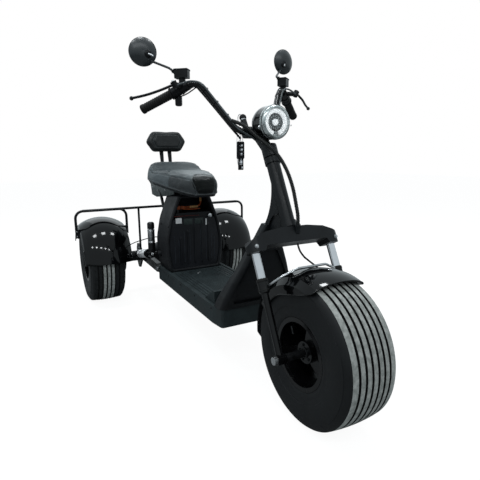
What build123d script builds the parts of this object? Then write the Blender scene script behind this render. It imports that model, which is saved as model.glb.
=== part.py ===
"""Motorized trike: one steered front wheel, two driven rear wheels, a step-through floor,
a saddle over a removable battery and a wide handlebar.

Millimetres. +X is the rider's left, +Y is rearward, +Z is up. The origin is on the ground,
midway between the front and rear axles.
"""
from build123d import *
from math import atan2, cos, degrees, hypot, radians, sin, tan
import os

os.makedirs("parts", exist_ok=True)

# ---- stance -------------------------------------------------------------------------------
WHEELBASE = 1500
REAR_TRACK = 776
TYRE_RADIUS = 228.5
TYRE_WIDTH = 186
RAKE = 26.5
FRONT_Y = -WHEELBASE / 2
REAR_Y = WHEELBASE / 2
REAR_X = REAR_TRACK / 2
AXLE_Z = TYRE_RADIUS
RUNNING_GAP = 0.05
RIGHT, LEFT = -1, 1
SIDES = (RIGHT, LEFT)

# ---- wheels -------------------------------------------------------------------------------
TREAD_HALF = 76
TREAD_DROP = 5
SHOULDER_DROP = 26
SIDEWALL_BULGE_RADIUS = 168
TYRE_WALL = 12
RIM_RADIUS = 112
RIM_HALF = 84
RIM_WALL = 8
RIM_LIP = 14
SPOKES = 3
SPOKE_WIDTH = 46
SPOKE_HALF_DEPTH = 46
SPOKE_TURN = 97
HUB_RADIUS = 34
HUB_HALF = 60
FRONT_AXLE_RADIUS = 8
REAR_SPINDLE_RADIUS = 12.5
DISC_RADIUS = 80
DISC_THICKNESS = 4
DISC_X = TYRE_WIDTH / 2 + 7

# ---- steering head and fork ---------------------------------------------------------------
STEERER_RADIUS = 15
HEAD_TUBE_RADIUS = 23
HEAD_CUP_RADIUS = 27
HEAD_CUP_LENGTH = 20
HEAD_TUBE_LOW = 393
HEAD_TUBE_HIGH = 640
HEAD_BORE_RADIUS = 18
HEAD_GAP = 4
FORK_HALF = DISC_X + DISC_THICKNESS + 43
CROWN_DEPTH = 60
CROWN_LOW = 338
STANCHION_RADIUS = 13.5
STANCHION_LOW = 238
STANCHION_TOP = 340
COLLAR_LOW = 196
COLLAR_RADIUS = 17
SLIDER_RADIUS = 11
DROPOUT_RADIUS = 16
DROPOUT_WIDTH = 30
AXLE_NUT_RADIUS = 12
AXLE_NUT_LENGTH = 10

# ---- frame, floor and leg shield ----------------------------------------------------------
FLOOR_FRONT = 390
FLOOR_REAR = 1150
FLOOR_HALF = 156
FLOOR_LOW = 175
FLOOR_TOP = 238
FLOOR_PLATE = 10
FLOOR_RIM_TOP = 246
FLOOR_RIM = 14
FLOOR_REAR_RIM = 8
FLOOR_SKIRT = 8
RAIL_X = 95
RAIL_WIDTH = 36
RAIL_DEPTH = 40
RAIL_FRONT = 402
RAIL_TOP = FLOOR_TOP - FLOOR_PLATE
PIVOT_BACK = 1178
PIVOT_Z = 222
PIVOT_RADIUS = 15
BACKBONE_THICKNESS = 20

# ---- battery housing ----------------------------------------------------------------------
HOUSING_FRONT = 1000
HOUSING_DEPTH = 166
HOUSING_REAR = HOUSING_FRONT + HOUSING_DEPTH
HOUSING_WALL = 14
HOUSING_BACK_WALL = 6
HOUSING_SIDE_RADIUS = 220
HOUSING_BEVEL = 5
HOUSING_TOP = 622
BATTERY_GAP = 3
BATTERY_TOP = 505
BATTERY_INSET = 8
CAP_HEIGHT = 28
RIB_WIDTH = 6
RIB_DEPTH = 4

# ---- seat and backrest --------------------------------------------------------------------
SEAT_NOSE = 853
SEAT_NOSE_Z = 628
SEAT_TILT = 8.3
SEAT_PAN = 6
SEAT_LEAN = 9
POST_X = 24
POST_BACK = 1400
POST_THICKNESS = 8
BACKREST_LEAN = 9
PAD_RISE = 185
PAD_HALF = 117
PAD_HEIGHT = 112
PAD_THICKNESS = 46
PAD_EDGE = 10

# ---- rear axle, suspension and fenders -----------------------------------------------------
AXLE_TUBE_RADIUS = 30
AXLE_TUBE_HALF = REAR_X - RIM_HALF - 42
BRAKE_PLATE_RADIUS = 80
BRAKE_PLATE_THICKNESS = 12
ARM_X = 140
ARM_WIDTH = 26
ARM_DEPTH = 44
BRACKET_X = 165
BRACKET_THICKNESS = 10
SHOCK_X = 182
SHOCK_REAR = (WHEELBASE - 44, AXLE_Z + 21.5)
SHOCK_FRONT = (HOUSING_FRONT + 116, 318)
SPRING_RADIUS = 25
SPRING_WIRE = 4
DAMPER_RADIUS = 14
FENDER_X = REAR_X - 11
FENDER_HALF = TYRE_WIDTH / 2 + 31
FENDER_RADIUS = TYRE_RADIUS + 20
FENDER_SKIN = 3
FENDER_START = 6
FENDER_END = 150
HOOP_BACK = WHEELBASE - 50
HOOP_TOP = AXLE_Z + FENDER_RADIUS + 45
HOOP_HALF = FENDER_HALF + 13
HOOP_TUBE = 7
HOOP_BEND = 40
HOOP_TAB_TOP = AXLE_Z + FENDER_RADIUS - 52
HOOP_TAB_DROP = 50

# ---- handlebar, lamp and mirrors ------------------------------------------------------------
BAR_RADIUS = 11
GRIP_RADIUS = 16.5
LAMP_RADIUS = 56
LENS_RADIUS = 49
LAMP_BACK = 262
LAMP_Z = 920
LAMP_DEPTH = 106
MIRROR_RADIUS = 47.5
MIRROR_YAW = 10
CONDUIT_RADIUS = 6.5
HOSE_RADIUS = 3


def aft(distance):
    """Y of a point that lies this far behind the front axle."""
    return FRONT_Y + distance


def point(x, distance, z):
    """A point given by its side, its distance behind the front axle and its height."""
    return Vector(x, aft(distance), z)


STEER_UP = Vector(0, sin(radians(RAKE)), cos(radians(RAKE)))
STEER_BACK = Vector(0, cos(radians(RAKE)), -sin(radians(RAKE)))
FRONT_AXLE = Vector(0, FRONT_Y, TYRE_RADIUS)


def steer(side, along, back=0):
    """A point by its side, its way up the steering axis and its offset behind that axis."""
    return FRONT_AXLE + Vector(side, 0, 0) + STEER_UP * along + STEER_BACK * back


def rod(start, end, radius):
    """A straight round bar between two points."""
    return Plane(origin=start, z_dir=end - start) * Cylinder(
        radius, (end - start).length, align=(Align.CENTER, Align.CENTER, Align.MIN)
    )


def cross_rod(centre, radius, width):
    """A round bar along X, centred on a point."""
    half = Vector(width / 2, 0, 0)
    return rod(centre - half, centre + half, radius)


def smooth_radii(points, share=0.45):
    """The bend radius at each inner point: its share of the shorter run over half the turn."""
    radii = []
    for before, here, after in zip(points, points[1:], points[2:]):
        turn = radians((here - before).get_angle(after - here))
        run = min((here - before).length, (after - here).length)
        radii.append(share * run / tan(turn / 2))
    return radii


def bent_tube(points, radius, radii=None):
    """A round tube along straight runs that are joined by tangent arcs."""
    path = FilletPolyline(*points, radius=radii or smooth_radii(points))
    return sweep(Plane(origin=path @ 0, z_dir=path % 0) * Circle(radius), path=path)


def across(x_low, x_high, outline):
    """A plate whose outline of (distance behind the front axle, height) runs from x_low to x_high."""
    face = make_face(Polyline(*[(aft(back), z) for back, z in outline], close=True))
    return extrude(Plane.YZ.offset(x_low) * face, amount=x_high - x_low)


def both_sides(build):
    """The same piece built for the right side and for the left side."""
    return Part() + [build(side) for side in SIDES]


# ---- wheels -------------------------------------------------------------------------------
def tyre(centre):
    """A wide balloon tyre: crowned tread, round shoulders and bulged sidewalls, open to the rim."""
    outside = [
        ThreePointArc(
            (-TREAD_HALF, TYRE_RADIUS - TREAD_DROP), (0, TYRE_RADIUS),
            (TREAD_HALF, TYRE_RADIUS - TREAD_DROP),
        )
    ]
    inner_edge = TREAD_HALF - TYRE_WALL
    inner_top = TYRE_RADIUS - TREAD_DROP - TYRE_WALL * 1.5
    bead = RIM_HALF - TYRE_WALL
    for side in SIDES:
        shoulder = (side * (TYRE_WIDTH / 2 - 3), TYRE_RADIUS - SHOULDER_DROP)
        bulge = (side * TYRE_WIDTH / 2, SIDEWALL_BULGE_RADIUS)
        lower = (side * (TYRE_WIDTH / 2 - 3), (SIDEWALL_BULGE_RADIUS + RIM_RADIUS) / 2)
        edge = (side * TREAD_HALF, TYRE_RADIUS - TREAD_DROP)
        foot = (side * RIM_HALF, RIM_RADIUS)
        inside = (side * (TYRE_WIDTH / 2 - TYRE_WALL), SIDEWALL_BULGE_RADIUS)
        outside += [
            ThreePointArc(edge, shoulder, bulge),
            ThreePointArc(bulge, lower, foot),
            Line(foot, (side * bead, RIM_RADIUS)),
            ThreePointArc((side * bead, RIM_RADIUS), inside, (side * inner_edge, inner_top)),
        ]
    outside.append(Line((-inner_edge, inner_top), (inner_edge, inner_top)))
    return Location(centre) * revolve(make_face(Curve() + outside), Axis.X)


def rim(centre, bore_radius):
    """A deep cast rim with three broad spokes and a long hub."""
    barrel = Polyline(
        (-RIM_HALF, RIM_RADIUS), (RIM_HALF, RIM_RADIUS), (RIM_HALF, RIM_RADIUS - RIM_LIP),
        (RIM_HALF - RIM_WALL, RIM_RADIUS - RIM_LIP), (RIM_HALF - 2 * RIM_WALL, RIM_RADIUS - RIM_WALL),
        (2 * RIM_WALL - RIM_HALF, RIM_RADIUS - RIM_WALL), (RIM_WALL - RIM_HALF, RIM_RADIUS - RIM_LIP),
        (-RIM_HALF, RIM_RADIUS - RIM_LIP), close=True,
    )
    body = revolve(make_face(barrel), Axis.X)
    hub = Rot(0, 90, 0) * Cylinder(HUB_RADIUS, 2 * HUB_HALF)
    spoke_end = RIM_RADIUS - RIM_WALL / 2
    blade = make_face(Polyline(
        (0, -SPOKE_WIDTH / 2), (spoke_end, -SPOKE_WIDTH * 0.36), (spoke_end, SPOKE_WIDTH * 0.36),
        (0, SPOKE_WIDTH / 2), close=True,
    ))
    spoke = extrude(Plane.YZ * blade, amount=SPOKE_HALF_DEPTH, both=True)
    for number in range(SPOKES):
        body += Rot(SPOKE_TURN + number * 360 / SPOKES, 0, 0) * spoke
    body = body + hub - Rot(0, 90, 0) * Cylinder(bore_radius, 2 * HUB_HALF)
    return Location(centre) * body


def brake_disc():
    """The front disc with its carrier, bolted to the left end of the hub outside the tyre."""
    centre = FRONT_AXLE + Vector(DISC_X + DISC_THICKNESS / 2, 0, 0)
    disc = cross_rod(centre, DISC_RADIUS, DISC_THICKNESS)
    disc += cross_rod(FRONT_AXLE + Vector((HUB_HALF + DISC_X) / 2, 0, 0), HUB_RADIUS - 4, DISC_X - HUB_HALF)
    for number in range(6):
        angle = radians(30 + 60 * number)
        disc -= cross_rod(centre + Vector(0, 55 * cos(angle), 55 * sin(angle)), 9, 3 * DISC_THICKNESS)
    return disc - cross_rod(FRONT_AXLE, AXLE_NUT_RADIUS + 4, 4 * DISC_X)


# ---- steering -----------------------------------------------------------------------------
CROWN_HALF_OUTLINE = (
    # (side, way up the steering axis), from the middle of the top edge to the middle of the bottom
    (48, 389), (112, 381), (160, 362), (174, 346), (174, 322), (124, 322), (116, 338),
)


def fork_crown():
    """The arched lower clamp with its two stanchion bosses and the steerer above it."""
    right = [(-side, along) for side, along in CROWN_HALF_OUTLINE]
    plane = Plane(origin=FRONT_AXLE, x_dir=(1, 0, 0), z_dir=-STEER_BACK)
    outline = make_face(Polyline(*CROWN_HALF_OUTLINE, *reversed(right), close=True))
    outline = fillet(outline.vertices(), 6)
    bridge = extrude(plane * outline, amount=CROWN_DEPTH / 2, both=True)
    plan = Plane(origin=steer(0, 0), x_dir=(1, 0, 0), z_dir=STEER_UP)
    ends = fillet(Rectangle(2 * 174, CROWN_DEPTH).vertices(), CROWN_DEPTH / 2 - 1)
    bridge &= extrude(plan * ends, amount=HEAD_TUBE_LOW)
    steerer = rod(steer(0, CROWN_LOW + 10), steer(0, HEAD_TUBE_HIGH + HEAD_GAP + 40), STEERER_RADIUS)
    gland = rod(steer(*GLAND_FOOT), steer(*GLAND_TOP), CONDUIT_RADIUS + 3)
    crown = bridge + steerer + gland
    for side in SIDES:
        crown -= rod(steer(side * FORK_HALF, 300), steer(side * FORK_HALF, STANCHION_TOP), STANCHION_RADIUS)
    return crown


def stanchion(side):
    return rod(steer(side * FORK_HALF, STANCHION_LOW), steer(side * FORK_HALF, STANCHION_TOP),
               STANCHION_RADIUS)


def fork_slider(side):
    """A lower leg: dust collar, slim tube and the dropout that holds the axle."""
    collar = rod(steer(side * FORK_HALF, COLLAR_LOW), steer(side * FORK_HALF, STANCHION_LOW),
                 COLLAR_RADIUS)
    collar = chamfer(collar.faces().sort_by(Axis.Z)[0].edges(), 4)
    leg = rod(steer(side * FORK_HALF, 0), steer(side * FORK_HALF, COLLAR_LOW), SLIDER_RADIUS)
    hub = FRONT_AXLE + Vector(side * FORK_HALF, 0, 0)
    boss = cross_rod(hub, DROPOUT_RADIUS, DROPOUT_WIDTH)
    return leg + boss + collar - cross_rod(hub, FRONT_AXLE_RADIUS, 2 * DROPOUT_WIDTH)


def front_axle():
    """The fixed axle with its end nuts and the spacers between hub and dropouts."""
    nut_x = FORK_HALF + DROPOUT_WIDTH / 2 + AXLE_NUT_LENGTH / 2
    axle = cross_rod(FRONT_AXLE, FRONT_AXLE_RADIUS, 2 * nut_x + AXLE_NUT_LENGTH)
    spacer_end = FORK_HALF - DROPOUT_WIDTH / 2
    for side in SIDES:
        spacer_start = (DISC_X if side == LEFT else HUB_HALF) + DISC_THICKNESS + 3
        axle += cross_rod(FRONT_AXLE + Vector(side * nut_x, 0, 0), AXLE_NUT_RADIUS, AXLE_NUT_LENGTH)
        middle = side * (spacer_start + spacer_end) / 2
        axle += cross_rod(FRONT_AXLE + Vector(middle, 0, 0), AXLE_NUT_RADIUS, spacer_end - spacer_start)
    return axle


FRONT_FENDER_HALF = TYRE_WIDTH / 2 + 9
FRONT_FENDER_CROWN = TYRE_RADIUS + 21.5
FRONT_FENDER_EDGE = (
    # half width and radius about the axle, from the skirt's lower edge up to the crown
    (FRONT_FENDER_HALF, FRONT_FENDER_CROWN - 64), (FRONT_FENDER_HALF - 1, FRONT_FENDER_CROWN - 38),
    (FRONT_FENDER_HALF - 17, FRONT_FENDER_CROWN - 17), (0, FRONT_FENDER_CROWN),
)
FRONT_FENDER_SKIN = 3
FRONT_FENDER_START = 30
FRONT_FENDER_END = 109
FRONT_FENDER_CUT = (
    # distance behind the axle and height above it, along the skirt's raised front edge
    (68, 172.5), (-4, 189), (-70, 210.5), (-150, 240),
)
MUDFLAP_END = -13
MUDFLAP_HALF = 84


def arched_section(edge, skin):
    """A thin arch on the plane of X and radius: its edge mirrored, less the same drawn in."""
    faces = []
    for inset in (0, skin):
        right = [(x - inset, radius - inset) for x, radius in edge[:-1]]
        right[0] = (right[0][0], right[0][1] - inset)
        left = [(-x, radius) for x, radius in right]
        crown = edge[-1][1] - inset
        faces.append(make_face(Curve() + [
            Line(left[0], right[0]),
            Polyline(*right),
            ThreePointArc(right[-1], (0, crown), left[-1]),
            Polyline(*reversed(left)),
        ]))
    return faces[0] - faces[1]


def front_fender():
    """The short front fender, rolled round the wheel from behind it to just past the top."""
    arch = arched_section(FRONT_FENDER_EDGE, FRONT_FENDER_SKIN)
    shell = revolve(arch, Axis.X, FRONT_FENDER_END - FRONT_FENDER_START)
    shell = Location(FRONT_AXLE) * Rot(FRONT_FENDER_START, 0, 0) * shell
    edge = [(back, AXLE_Z + rise) for back, rise in FRONT_FENDER_CUT]
    low = [(edge[-1][0], AXLE_Z), (edge[0][0], AXLE_Z)]
    return shell - across(-2 * FRONT_FENDER_HALF, 2 * FRONT_FENDER_HALF, edge + low)


def front_mudflap():
    """The flap that carries the fender's line down behind the wheel, narrower at its foot."""
    radius = FRONT_FENDER_CROWN
    half = MUDFLAP_HALF
    band = arched_section(((half, radius - 9), (half - 5, radius - 4), (0, radius + 4)), 4)
    flap = revolve(band, Axis.X, FRONT_FENDER_START - MUDFLAP_END)
    flap = Location(FRONT_AXLE) * Rot(MUDFLAP_END, 0, 0) * flap
    shape = make_face(Polyline(
        (-half, AXLE_Z + 160), (half, AXLE_Z + 160), (half - 2, AXLE_Z - 20), (half - 30, AXLE_Z - 64),
        (30 - half, AXLE_Z - 64), (2 - half, AXLE_Z - 20), close=True))
    plane = Plane(origin=point(0, 150, 0), x_dir=(1, 0, 0), z_dir=(0, -1, 0))
    return flap & extrude(plane * shape, amount=-160)


def over_wheel(x, radius, lean):
    """A point over the front wheel by its side, its radius and its angle behind the vertical."""
    return FRONT_AXLE + Vector(x, radius * sin(radians(lean)), radius * cos(radians(lean)))


def fender_brace(sliders):
    """The bright strap that runs from one dust collar over the fender's crown to the other."""
    half = [
        steer(RIGHT * (FORK_HALF - COLLAR_RADIUS + 1), (COLLAR_LOW + STANCHION_LOW) / 2),
        over_wheel(-FRONT_FENDER_HALF, FRONT_FENDER_CROWN - 14, 16.4),
        over_wheel(-54, FRONT_FENDER_CROWN + 5, 11.8),
    ]
    mirrored = [Vector(-place.X, place.Y, place.Z) for place in reversed(half)]
    return bent_tube(half + mirrored, 4, [16, 24, 24, 16]) - sliders


def brake_caliper(sliders):
    """The two-sided caliper on the left leg, with a slot for the disc and an arm to the leg."""
    middle = (DISC_RADIUS - 4) * cos(radians(45))
    disc_middle = FRONT_AXLE + Vector(DISC_X + DISC_THICKNESS / 2, 0, 0)
    centre = disc_middle + Vector(0, middle, middle)
    body = Location(centre) * (Rot(-45, 0, 0) * fillet(Box(26, 58, 38).edges(), 4))
    slot = cross_rod(disc_middle, DISC_RADIUS + 5, DISC_THICKNESS + 10)
    arm = rod(centre + Vector(6, 8, 8), steer(FORK_HALF, 108), 8)
    return body + arm - slot - sliders


# ---- handlebar group ----------------------------------------------------------------------
BAR_CENTRE = point(0, 396, 893)
BAR_LOW = (70, 396, 893)
BAR_BEND = (176, 504, 1074)
BAR_END = (337, 640, 982)


def bar_point(place, side):
    return point(side * place[0], place[1], place[2])


def handlebar():
    """One bent tube: low in the middle, rising and sweeping back to the drooped grips."""
    points = [bar_point(place, RIGHT) for place in (BAR_END, BAR_BEND, BAR_LOW)]
    points += [bar_point(place, LEFT) for place in (BAR_LOW, BAR_BEND, BAR_END)]
    return bent_tube(points, BAR_RADIUS, [46, 60, 60, 46])


def along_grip(side, distance, forward=0, up=0):
    """A point by its way out along the grip, and its offset forward and up from the bar."""
    outer = bar_point(BAR_END, side)
    direction = (outer - bar_point(BAR_BEND, side)).normalized()
    ahead = (Vector(0, -1, 0) - direction * direction.dot(Vector(0, -1, 0))).normalized()
    above = direction.cross(ahead) * (1 if side == RIGHT else -1)
    return outer + direction * (distance - GRIP_LENGTH) + ahead * forward + above * up


GRIP_LENGTH = 128


def grip(side):
    """A rubber grip with a flange at its inner end."""
    body = rod(along_grip(side, 0), along_grip(side, GRIP_LENGTH + 3), GRIP_RADIUS)
    flange = rod(along_grip(side, 0), along_grip(side, 6), GRIP_RADIUS + 5)
    bar = rod(along_grip(side, -20), along_grip(side, GRIP_LENGTH), BAR_RADIUS)
    return body + flange - bar


RESERVOIR_LENGTH = 50
RESERVOIR_HEIGHT = 30
RESERVOIR_PLACES = {
    # side: (way along the bar from the grip's inner end, rise of the reservoir's middle over the bar)
    RIGHT: (-42, 48), LEFT: (-58, 42),
}


def hand_control(side):
    """Switch housing and lever perch clamped inboard of the grip, with the brake reservoir."""
    housing = rod(along_grip(side, -34), along_grip(side, -2), 19)
    perch = rod(along_grip(side, -66), along_grip(side, -34), 17)
    arm = rod(along_grip(side, -46, 8, 8), along_grip(side, -33, 40, 24), 9)
    pivot = rod(along_grip(side, -33, 40, 14), along_grip(side, -33, 40, 36), 11)
    control = housing + perch + arm + pivot
    along, rise = RESERVOIR_PLACES[side]
    axis = along_grip(side, 1) - along_grip(side, 0)
    level = Vector(axis.X, axis.Y, 0)
    seat = along_grip(side, along)
    box = Plane(origin=seat + Vector(0, 0, rise), x_dir=level, z_dir=(0, 0, 1)) * fillet(
        Box(RESERVOIR_LENGTH, 36, RESERVOIR_HEIGHT).edges().filter_by(Axis.Z), 6)
    control += box + rod(seat, seat + Vector(0, 0, rise), 12)
    if side == RIGHT:
        root = along_grip(side, -18, -2, -12)
        paddle = fillet(Box(24, 9, 38).edges().filter_by(Axis.Y), 7)
        control += Plane(origin=root - Vector(0, 0, 22), x_dir=level, z_dir=(0, 0, 1)) * paddle
        control += rod(root, root - Vector(0, 0, 16), 6)
    return control - rod(along_grip(side, -80), along_grip(side, 20), BAR_RADIUS)


def brake_lever(side):
    """A slim lever that bows forward of the grip and ends in a ball."""
    points = [
        along_grip(side, -27, 47, 26), along_grip(side, 14, 58, 30),
        along_grip(side, 70, 54, 38), along_grip(side, 126, 50, 52),
    ]
    blade = bent_tube(points, 4.5)
    return blade + Location(points[-1]) * Sphere(7.5) - hand_control(side)


MIRROR_PLACES = {
    # side: way along the bar of the stalk's foot, then knee and glass centre as (x, behind the
    # front axle, height)
    RIGHT: (-22, (-252, 552, 1114), (-341, 592, 1169)),
    LEFT: (-78, (172, 530, 1116), (240, 584, 1188)),
}
MIRROR_DEPTH = 24


def mirror(side):
    """A round mirror: thin bent stalk, and a domed shell that faces the rider."""
    way, knee, centre = MIRROR_PLACES[side]
    knee = point(*knee)
    centre = point(*centre)
    foot = along_grip(side, way) + Vector(0, 0, RESERVOIR_PLACES[side][1])
    shell = revolve(
        make_face(Curve() + [
            Line((0, 0), (MIRROR_RADIUS, 0)),
            Line((MIRROR_RADIUS, 0), (MIRROR_RADIUS, 6)),
            ThreePointArc((MIRROR_RADIUS, 6), (MIRROR_RADIUS * 0.62, MIRROR_DEPTH * 0.8),
                          (0, MIRROR_DEPTH)),
            Line((0, MIRROR_DEPTH), (0, 0)),
        ]),
        Axis.Y,
    )
    # the flat glass side looks back along +Y, and a little inward to the rider
    shell = Location(centre) * Rot(0, 0, MIRROR_YAW * side) * Rot(180, 0, 0) * shell
    stalk = bent_tube([foot, knee, centre - Vector(side * 10, MIRROR_DEPTH / 3, MIRROR_RADIUS / 2)], 4)
    return shell + stalk - hand_control(side)


def handlebar_stem(bar):
    """The forged clamp on the steerer, with the bar clamp behind and the lamp bracket in front."""
    low = HEAD_TUBE_HIGH + HEAD_GAP
    collar = rod(steer(0, low), steer(0, low + 42), 27)
    clamp = cross_rod(BAR_CENTRE, 21, 92)
    neck = rod(steer(0, low + 24, 8), BAR_CENTRE, 17)
    bracket = rod(steer(0, low + 22, -8), point(0, LAMP_BACK + LAMP_DEPTH - 30, LAMP_Z - 46), 11)
    lock = rod(point(-30, 408, 903), point(-30, 431, 938), 11)
    stem = collar + clamp + neck + bracket + lock
    lamp = Location(point(0, LAMP_BACK, LAMP_Z)) * lamp_dome(LAMP_RADIUS, LAMP_DEPTH, 0)
    return stem - bar - lamp - rod(steer(0, 600), steer(0, low + 40), STEERER_RADIUS)


def lamp_dome(radius, depth, front):
    """A round solid from its front: a short straight side, a domed back and a small flat crown."""
    side = LAMP_DEPTH * 0.36
    flat = 14
    return revolve(make_face(Curve() + [
        Line((0, front), (radius, front)),
        Line((radius, front), (radius, side)),
        ThreePointArc((radius, side), (radius * 0.76, depth * 0.8), (flat, depth)),
        Line((flat, depth), (0, depth)),
        Line((0, depth), (0, front)),
    ]), Axis.Y)


def headlamp_shell():
    """A deep round bucket, open in front."""
    wall = 4
    shell = lamp_dome(LAMP_RADIUS, LAMP_DEPTH, 0) - lamp_dome(LAMP_RADIUS - wall, LAMP_DEPTH - wall, -1)
    return Location(point(0, LAMP_BACK, LAMP_Z)) * shell


def headlamp_lens():
    """The domed glass with its bright ring, seated inside the bucket's rim."""
    seat = LAMP_RADIUS - 4
    glass = make_face(Curve() + [
        ThreePointArc((0, -11), (LENS_RADIUS * 0.6, -8), (LENS_RADIUS, -2)),
        Line((LENS_RADIUS, -2), (seat, -2)),
        Line((seat, -2), (seat, 14)),
        Line((seat, 14), (0, 14)),
        Line((0, 14), (0, -11)),
    ])
    return Location(point(0, LAMP_BACK, LAMP_Z)) * revolve(glass, Axis.Y)


CONDUIT_ROUTE = (
    # side, behind the front axle, height: from the right bend of the bar round to the crown
    (-91, 401, 932), (-74, 368, 920), (-61, 338, 903), (-51, 293, 872), (-38, 248, 845),
    (-16, 218, 812), (0, 192, 764), (5, 166, 712), (6, 150, 662),
)
GLAND_FOOT = (6, 366, -26)
GLAND_TOP = (6, 388, -40)


def wiring_conduit(bar):
    """The corrugated conduit that bows round the head tube from the bar clamp to the crown."""
    route = [point(*place) for place in CONDUIT_ROUTE]
    gland_axis = (steer(*GLAND_TOP) - steer(*GLAND_FOOT)).normalized()
    route += [steer(*GLAND_TOP) + gland_axis * 24, steer(*GLAND_TOP)]
    return bent_tube(route, CONDUIT_RADIUS) - bar


HOSE_ROUTE = (
    # side, behind the front axle, height: from under the crown over the fender to the caliper
    (0, 129, 536), (4, 122, 512), (20, 118, 490), (54, 124, 466), (94, 126, 436), (116, 112, 400),
    (116, 98, 350), (DISC_X + 2, 81.5, 310), (DISC_X + 2, 67.5, 296),
)


def brake_hose():
    """The front brake hose from the crown down to the caliper."""
    return bent_tube([point(*place) for place in HOSE_ROUTE], HOSE_RADIUS)


def key_set():
    """A key in the lock, with a ring, a chain, a fob and a second key that hang from it."""
    bow = Location(point(-30, 439, 950)) * (Rot(-33, 0, 0) * Box(4, 18, 24))
    ring = Location(point(-30, 458, 946)) * (Rot(0, 90, 0) * Torus(15, 1.5))
    chain = rod(point(-30, 458, 931), point(-30, 458, 860), 2)
    fob = Location(point(-28, 458, 832)) * fillet(Box(30, 11, 64).edges(), 4)
    tag = Location(point(-27, 458, 781)) * fillet(Box(22, 5, 42).edges().filter_by(Axis.Y), 5)
    return bow + ring + chain + fob + tag


# ---- frame --------------------------------------------------------------------------------
SHIELD_SECTIONS = (
    # height, front (behind the front axle), depth, half width, corner radius
    (FLOOR_RIM_TOP, 386, 84, 152, 22),
    (300, 357, 76, 145, 22),
    (360, 333, 66, 124, 22),
    (420, 314, 58, 97, 20),
    (475, 303, 50, 73, 18),
    (530, 295, 44, 42, 14),
    (575, 286, 42, 20, 10),
)
WINDOW_OUTLINE = ((-112, 268), (112, 268), (92, 380), (38, 478), (-38, 478), (-92, 380))
GUSSET_OUTLINE = (
    # distance behind the front axle and height: the plate that fills the fork of the backbone
    (212, 614), (240, 620), (298, 576), (298, 533), (224, 566), (197, 583),
)
GUSSET_THICKNESS = 6
PANEL_INSET = 10
PANEL_THICKNESS = 6


def shield_body(back=0):
    """The tapering leg shield as a solid, moved back by a distance."""
    sections = []
    for height, front, depth, half_width, corner in SHIELD_SECTIONS:
        centre = Location((0, aft(front + depth / 2) + back, height))
        sections.append(centre * RectangleRounded(2 * half_width, depth, corner))
    return loft(sections, ruled=True)


def shield_window():
    """The opening between the frame's two spread legs, as a prism along Y."""
    face = fillet(make_face(Polyline(*WINDOW_OUTLINE, close=True)).vertices(), 14)
    plane = Plane(origin=(0, aft(220), 0), x_dir=(1, 0, 0), z_dir=(0, -1, 0))
    return extrude(plane * face, amount=-320)


def main_frame():
    """Head tube, backbone web, spread front legs, floor rails and the rear pivot lugs."""
    head = rod(steer(0, HEAD_TUBE_LOW), steer(0, HEAD_TUBE_HIGH), HEAD_TUBE_RADIUS)
    for low in (HEAD_TUBE_LOW, HEAD_TUBE_HIGH - HEAD_CUP_LENGTH):
        head += rod(steer(0, low), steer(0, low + HEAD_CUP_LENGTH), HEAD_CUP_RADIUS)
    web_edge = Curve() + [
        Line((aft(254), 740), (aft(290), 778)),
        ThreePointArc((aft(290), 778), (aft(272), 680), (aft(326), 560)),
        Line((aft(326), 560), (aft(290), 560)),
        ThreePointArc((aft(290), 560), (aft(256), 612), (aft(232), 622)),
        Line((aft(232), 622), (aft(205), 628)),
        Line((aft(205), 628), (aft(254), 740)),
    ]
    web = extrude(Plane.YZ * make_face(web_edge), amount=BACKBONE_THICKNESS / 2, both=True)
    web += across(-GUSSET_THICKNESS / 2, GUSSET_THICKNESS / 2, GUSSET_OUTLINE)
    legs = shield_body() - shield_window()
    frame = head + web + legs
    rail_low = RAIL_TOP - RAIL_DEPTH
    for side in SIDES:
        x = side * RAIL_X
        frame += across(x - RAIL_WIDTH / 2, x + RAIL_WIDTH / 2, (
            (RAIL_FRONT, rail_low), (RAIL_FRONT, RAIL_TOP), (FLOOR_REAR - 8, RAIL_TOP),
            (FLOOR_REAR - 8, rail_low)))
        lug = across(x - 8, x + 8, (
            (FLOOR_REAR - 60, rail_low), (FLOOR_REAR - 60, RAIL_TOP), (PIVOT_BACK, PIVOT_Z + 22),
            (PIVOT_BACK, PIVOT_Z - 22)))
        frame += lug + cross_rod(point(x, PIVOT_BACK, PIVOT_Z), 22, 16)
    cross_width = 2 * RAIL_X
    for back in (RAIL_FRONT + 20, 720, FLOOR_REAR - 40):
        frame += across(-cross_width / 2, cross_width / 2, (
            (back - 16, rail_low + 4), (back - 16, RAIL_TOP), (back + 16, RAIL_TOP),
            (back + 16, rail_low + 4)))
    frame += across(-34, 34, ((RAIL_FRONT, RAIL_TOP - 4), (RAIL_FRONT, FLOOR_RIM_TOP + 4),
                              (RAIL_FRONT + 44, FLOOR_RIM_TOP + 4), (RAIL_FRONT + 44, RAIL_TOP - 4)))
    frame -= rod(steer(0, HEAD_TUBE_LOW - 1), steer(0, HEAD_TUBE_HIGH + 1), STEERER_RADIUS + RUNNING_GAP)
    frame -= rod(steer(0, HEAD_TUBE_LOW + HEAD_CUP_LENGTH), steer(0, HEAD_TUBE_HIGH - HEAD_CUP_LENGTH),
                 HEAD_BORE_RADIUS)
    return frame - cross_rod(point(0, PIVOT_BACK, PIVOT_Z), PIVOT_RADIUS, 2 * FLOOR_HALF)


def apron_panel():
    """The dark sheet that closes the opening between the frame's front legs."""
    skin = shield_body(PANEL_INSET) - shield_body(PANEL_INSET + PANEL_THICKNESS)
    return skin & shield_window()


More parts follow.
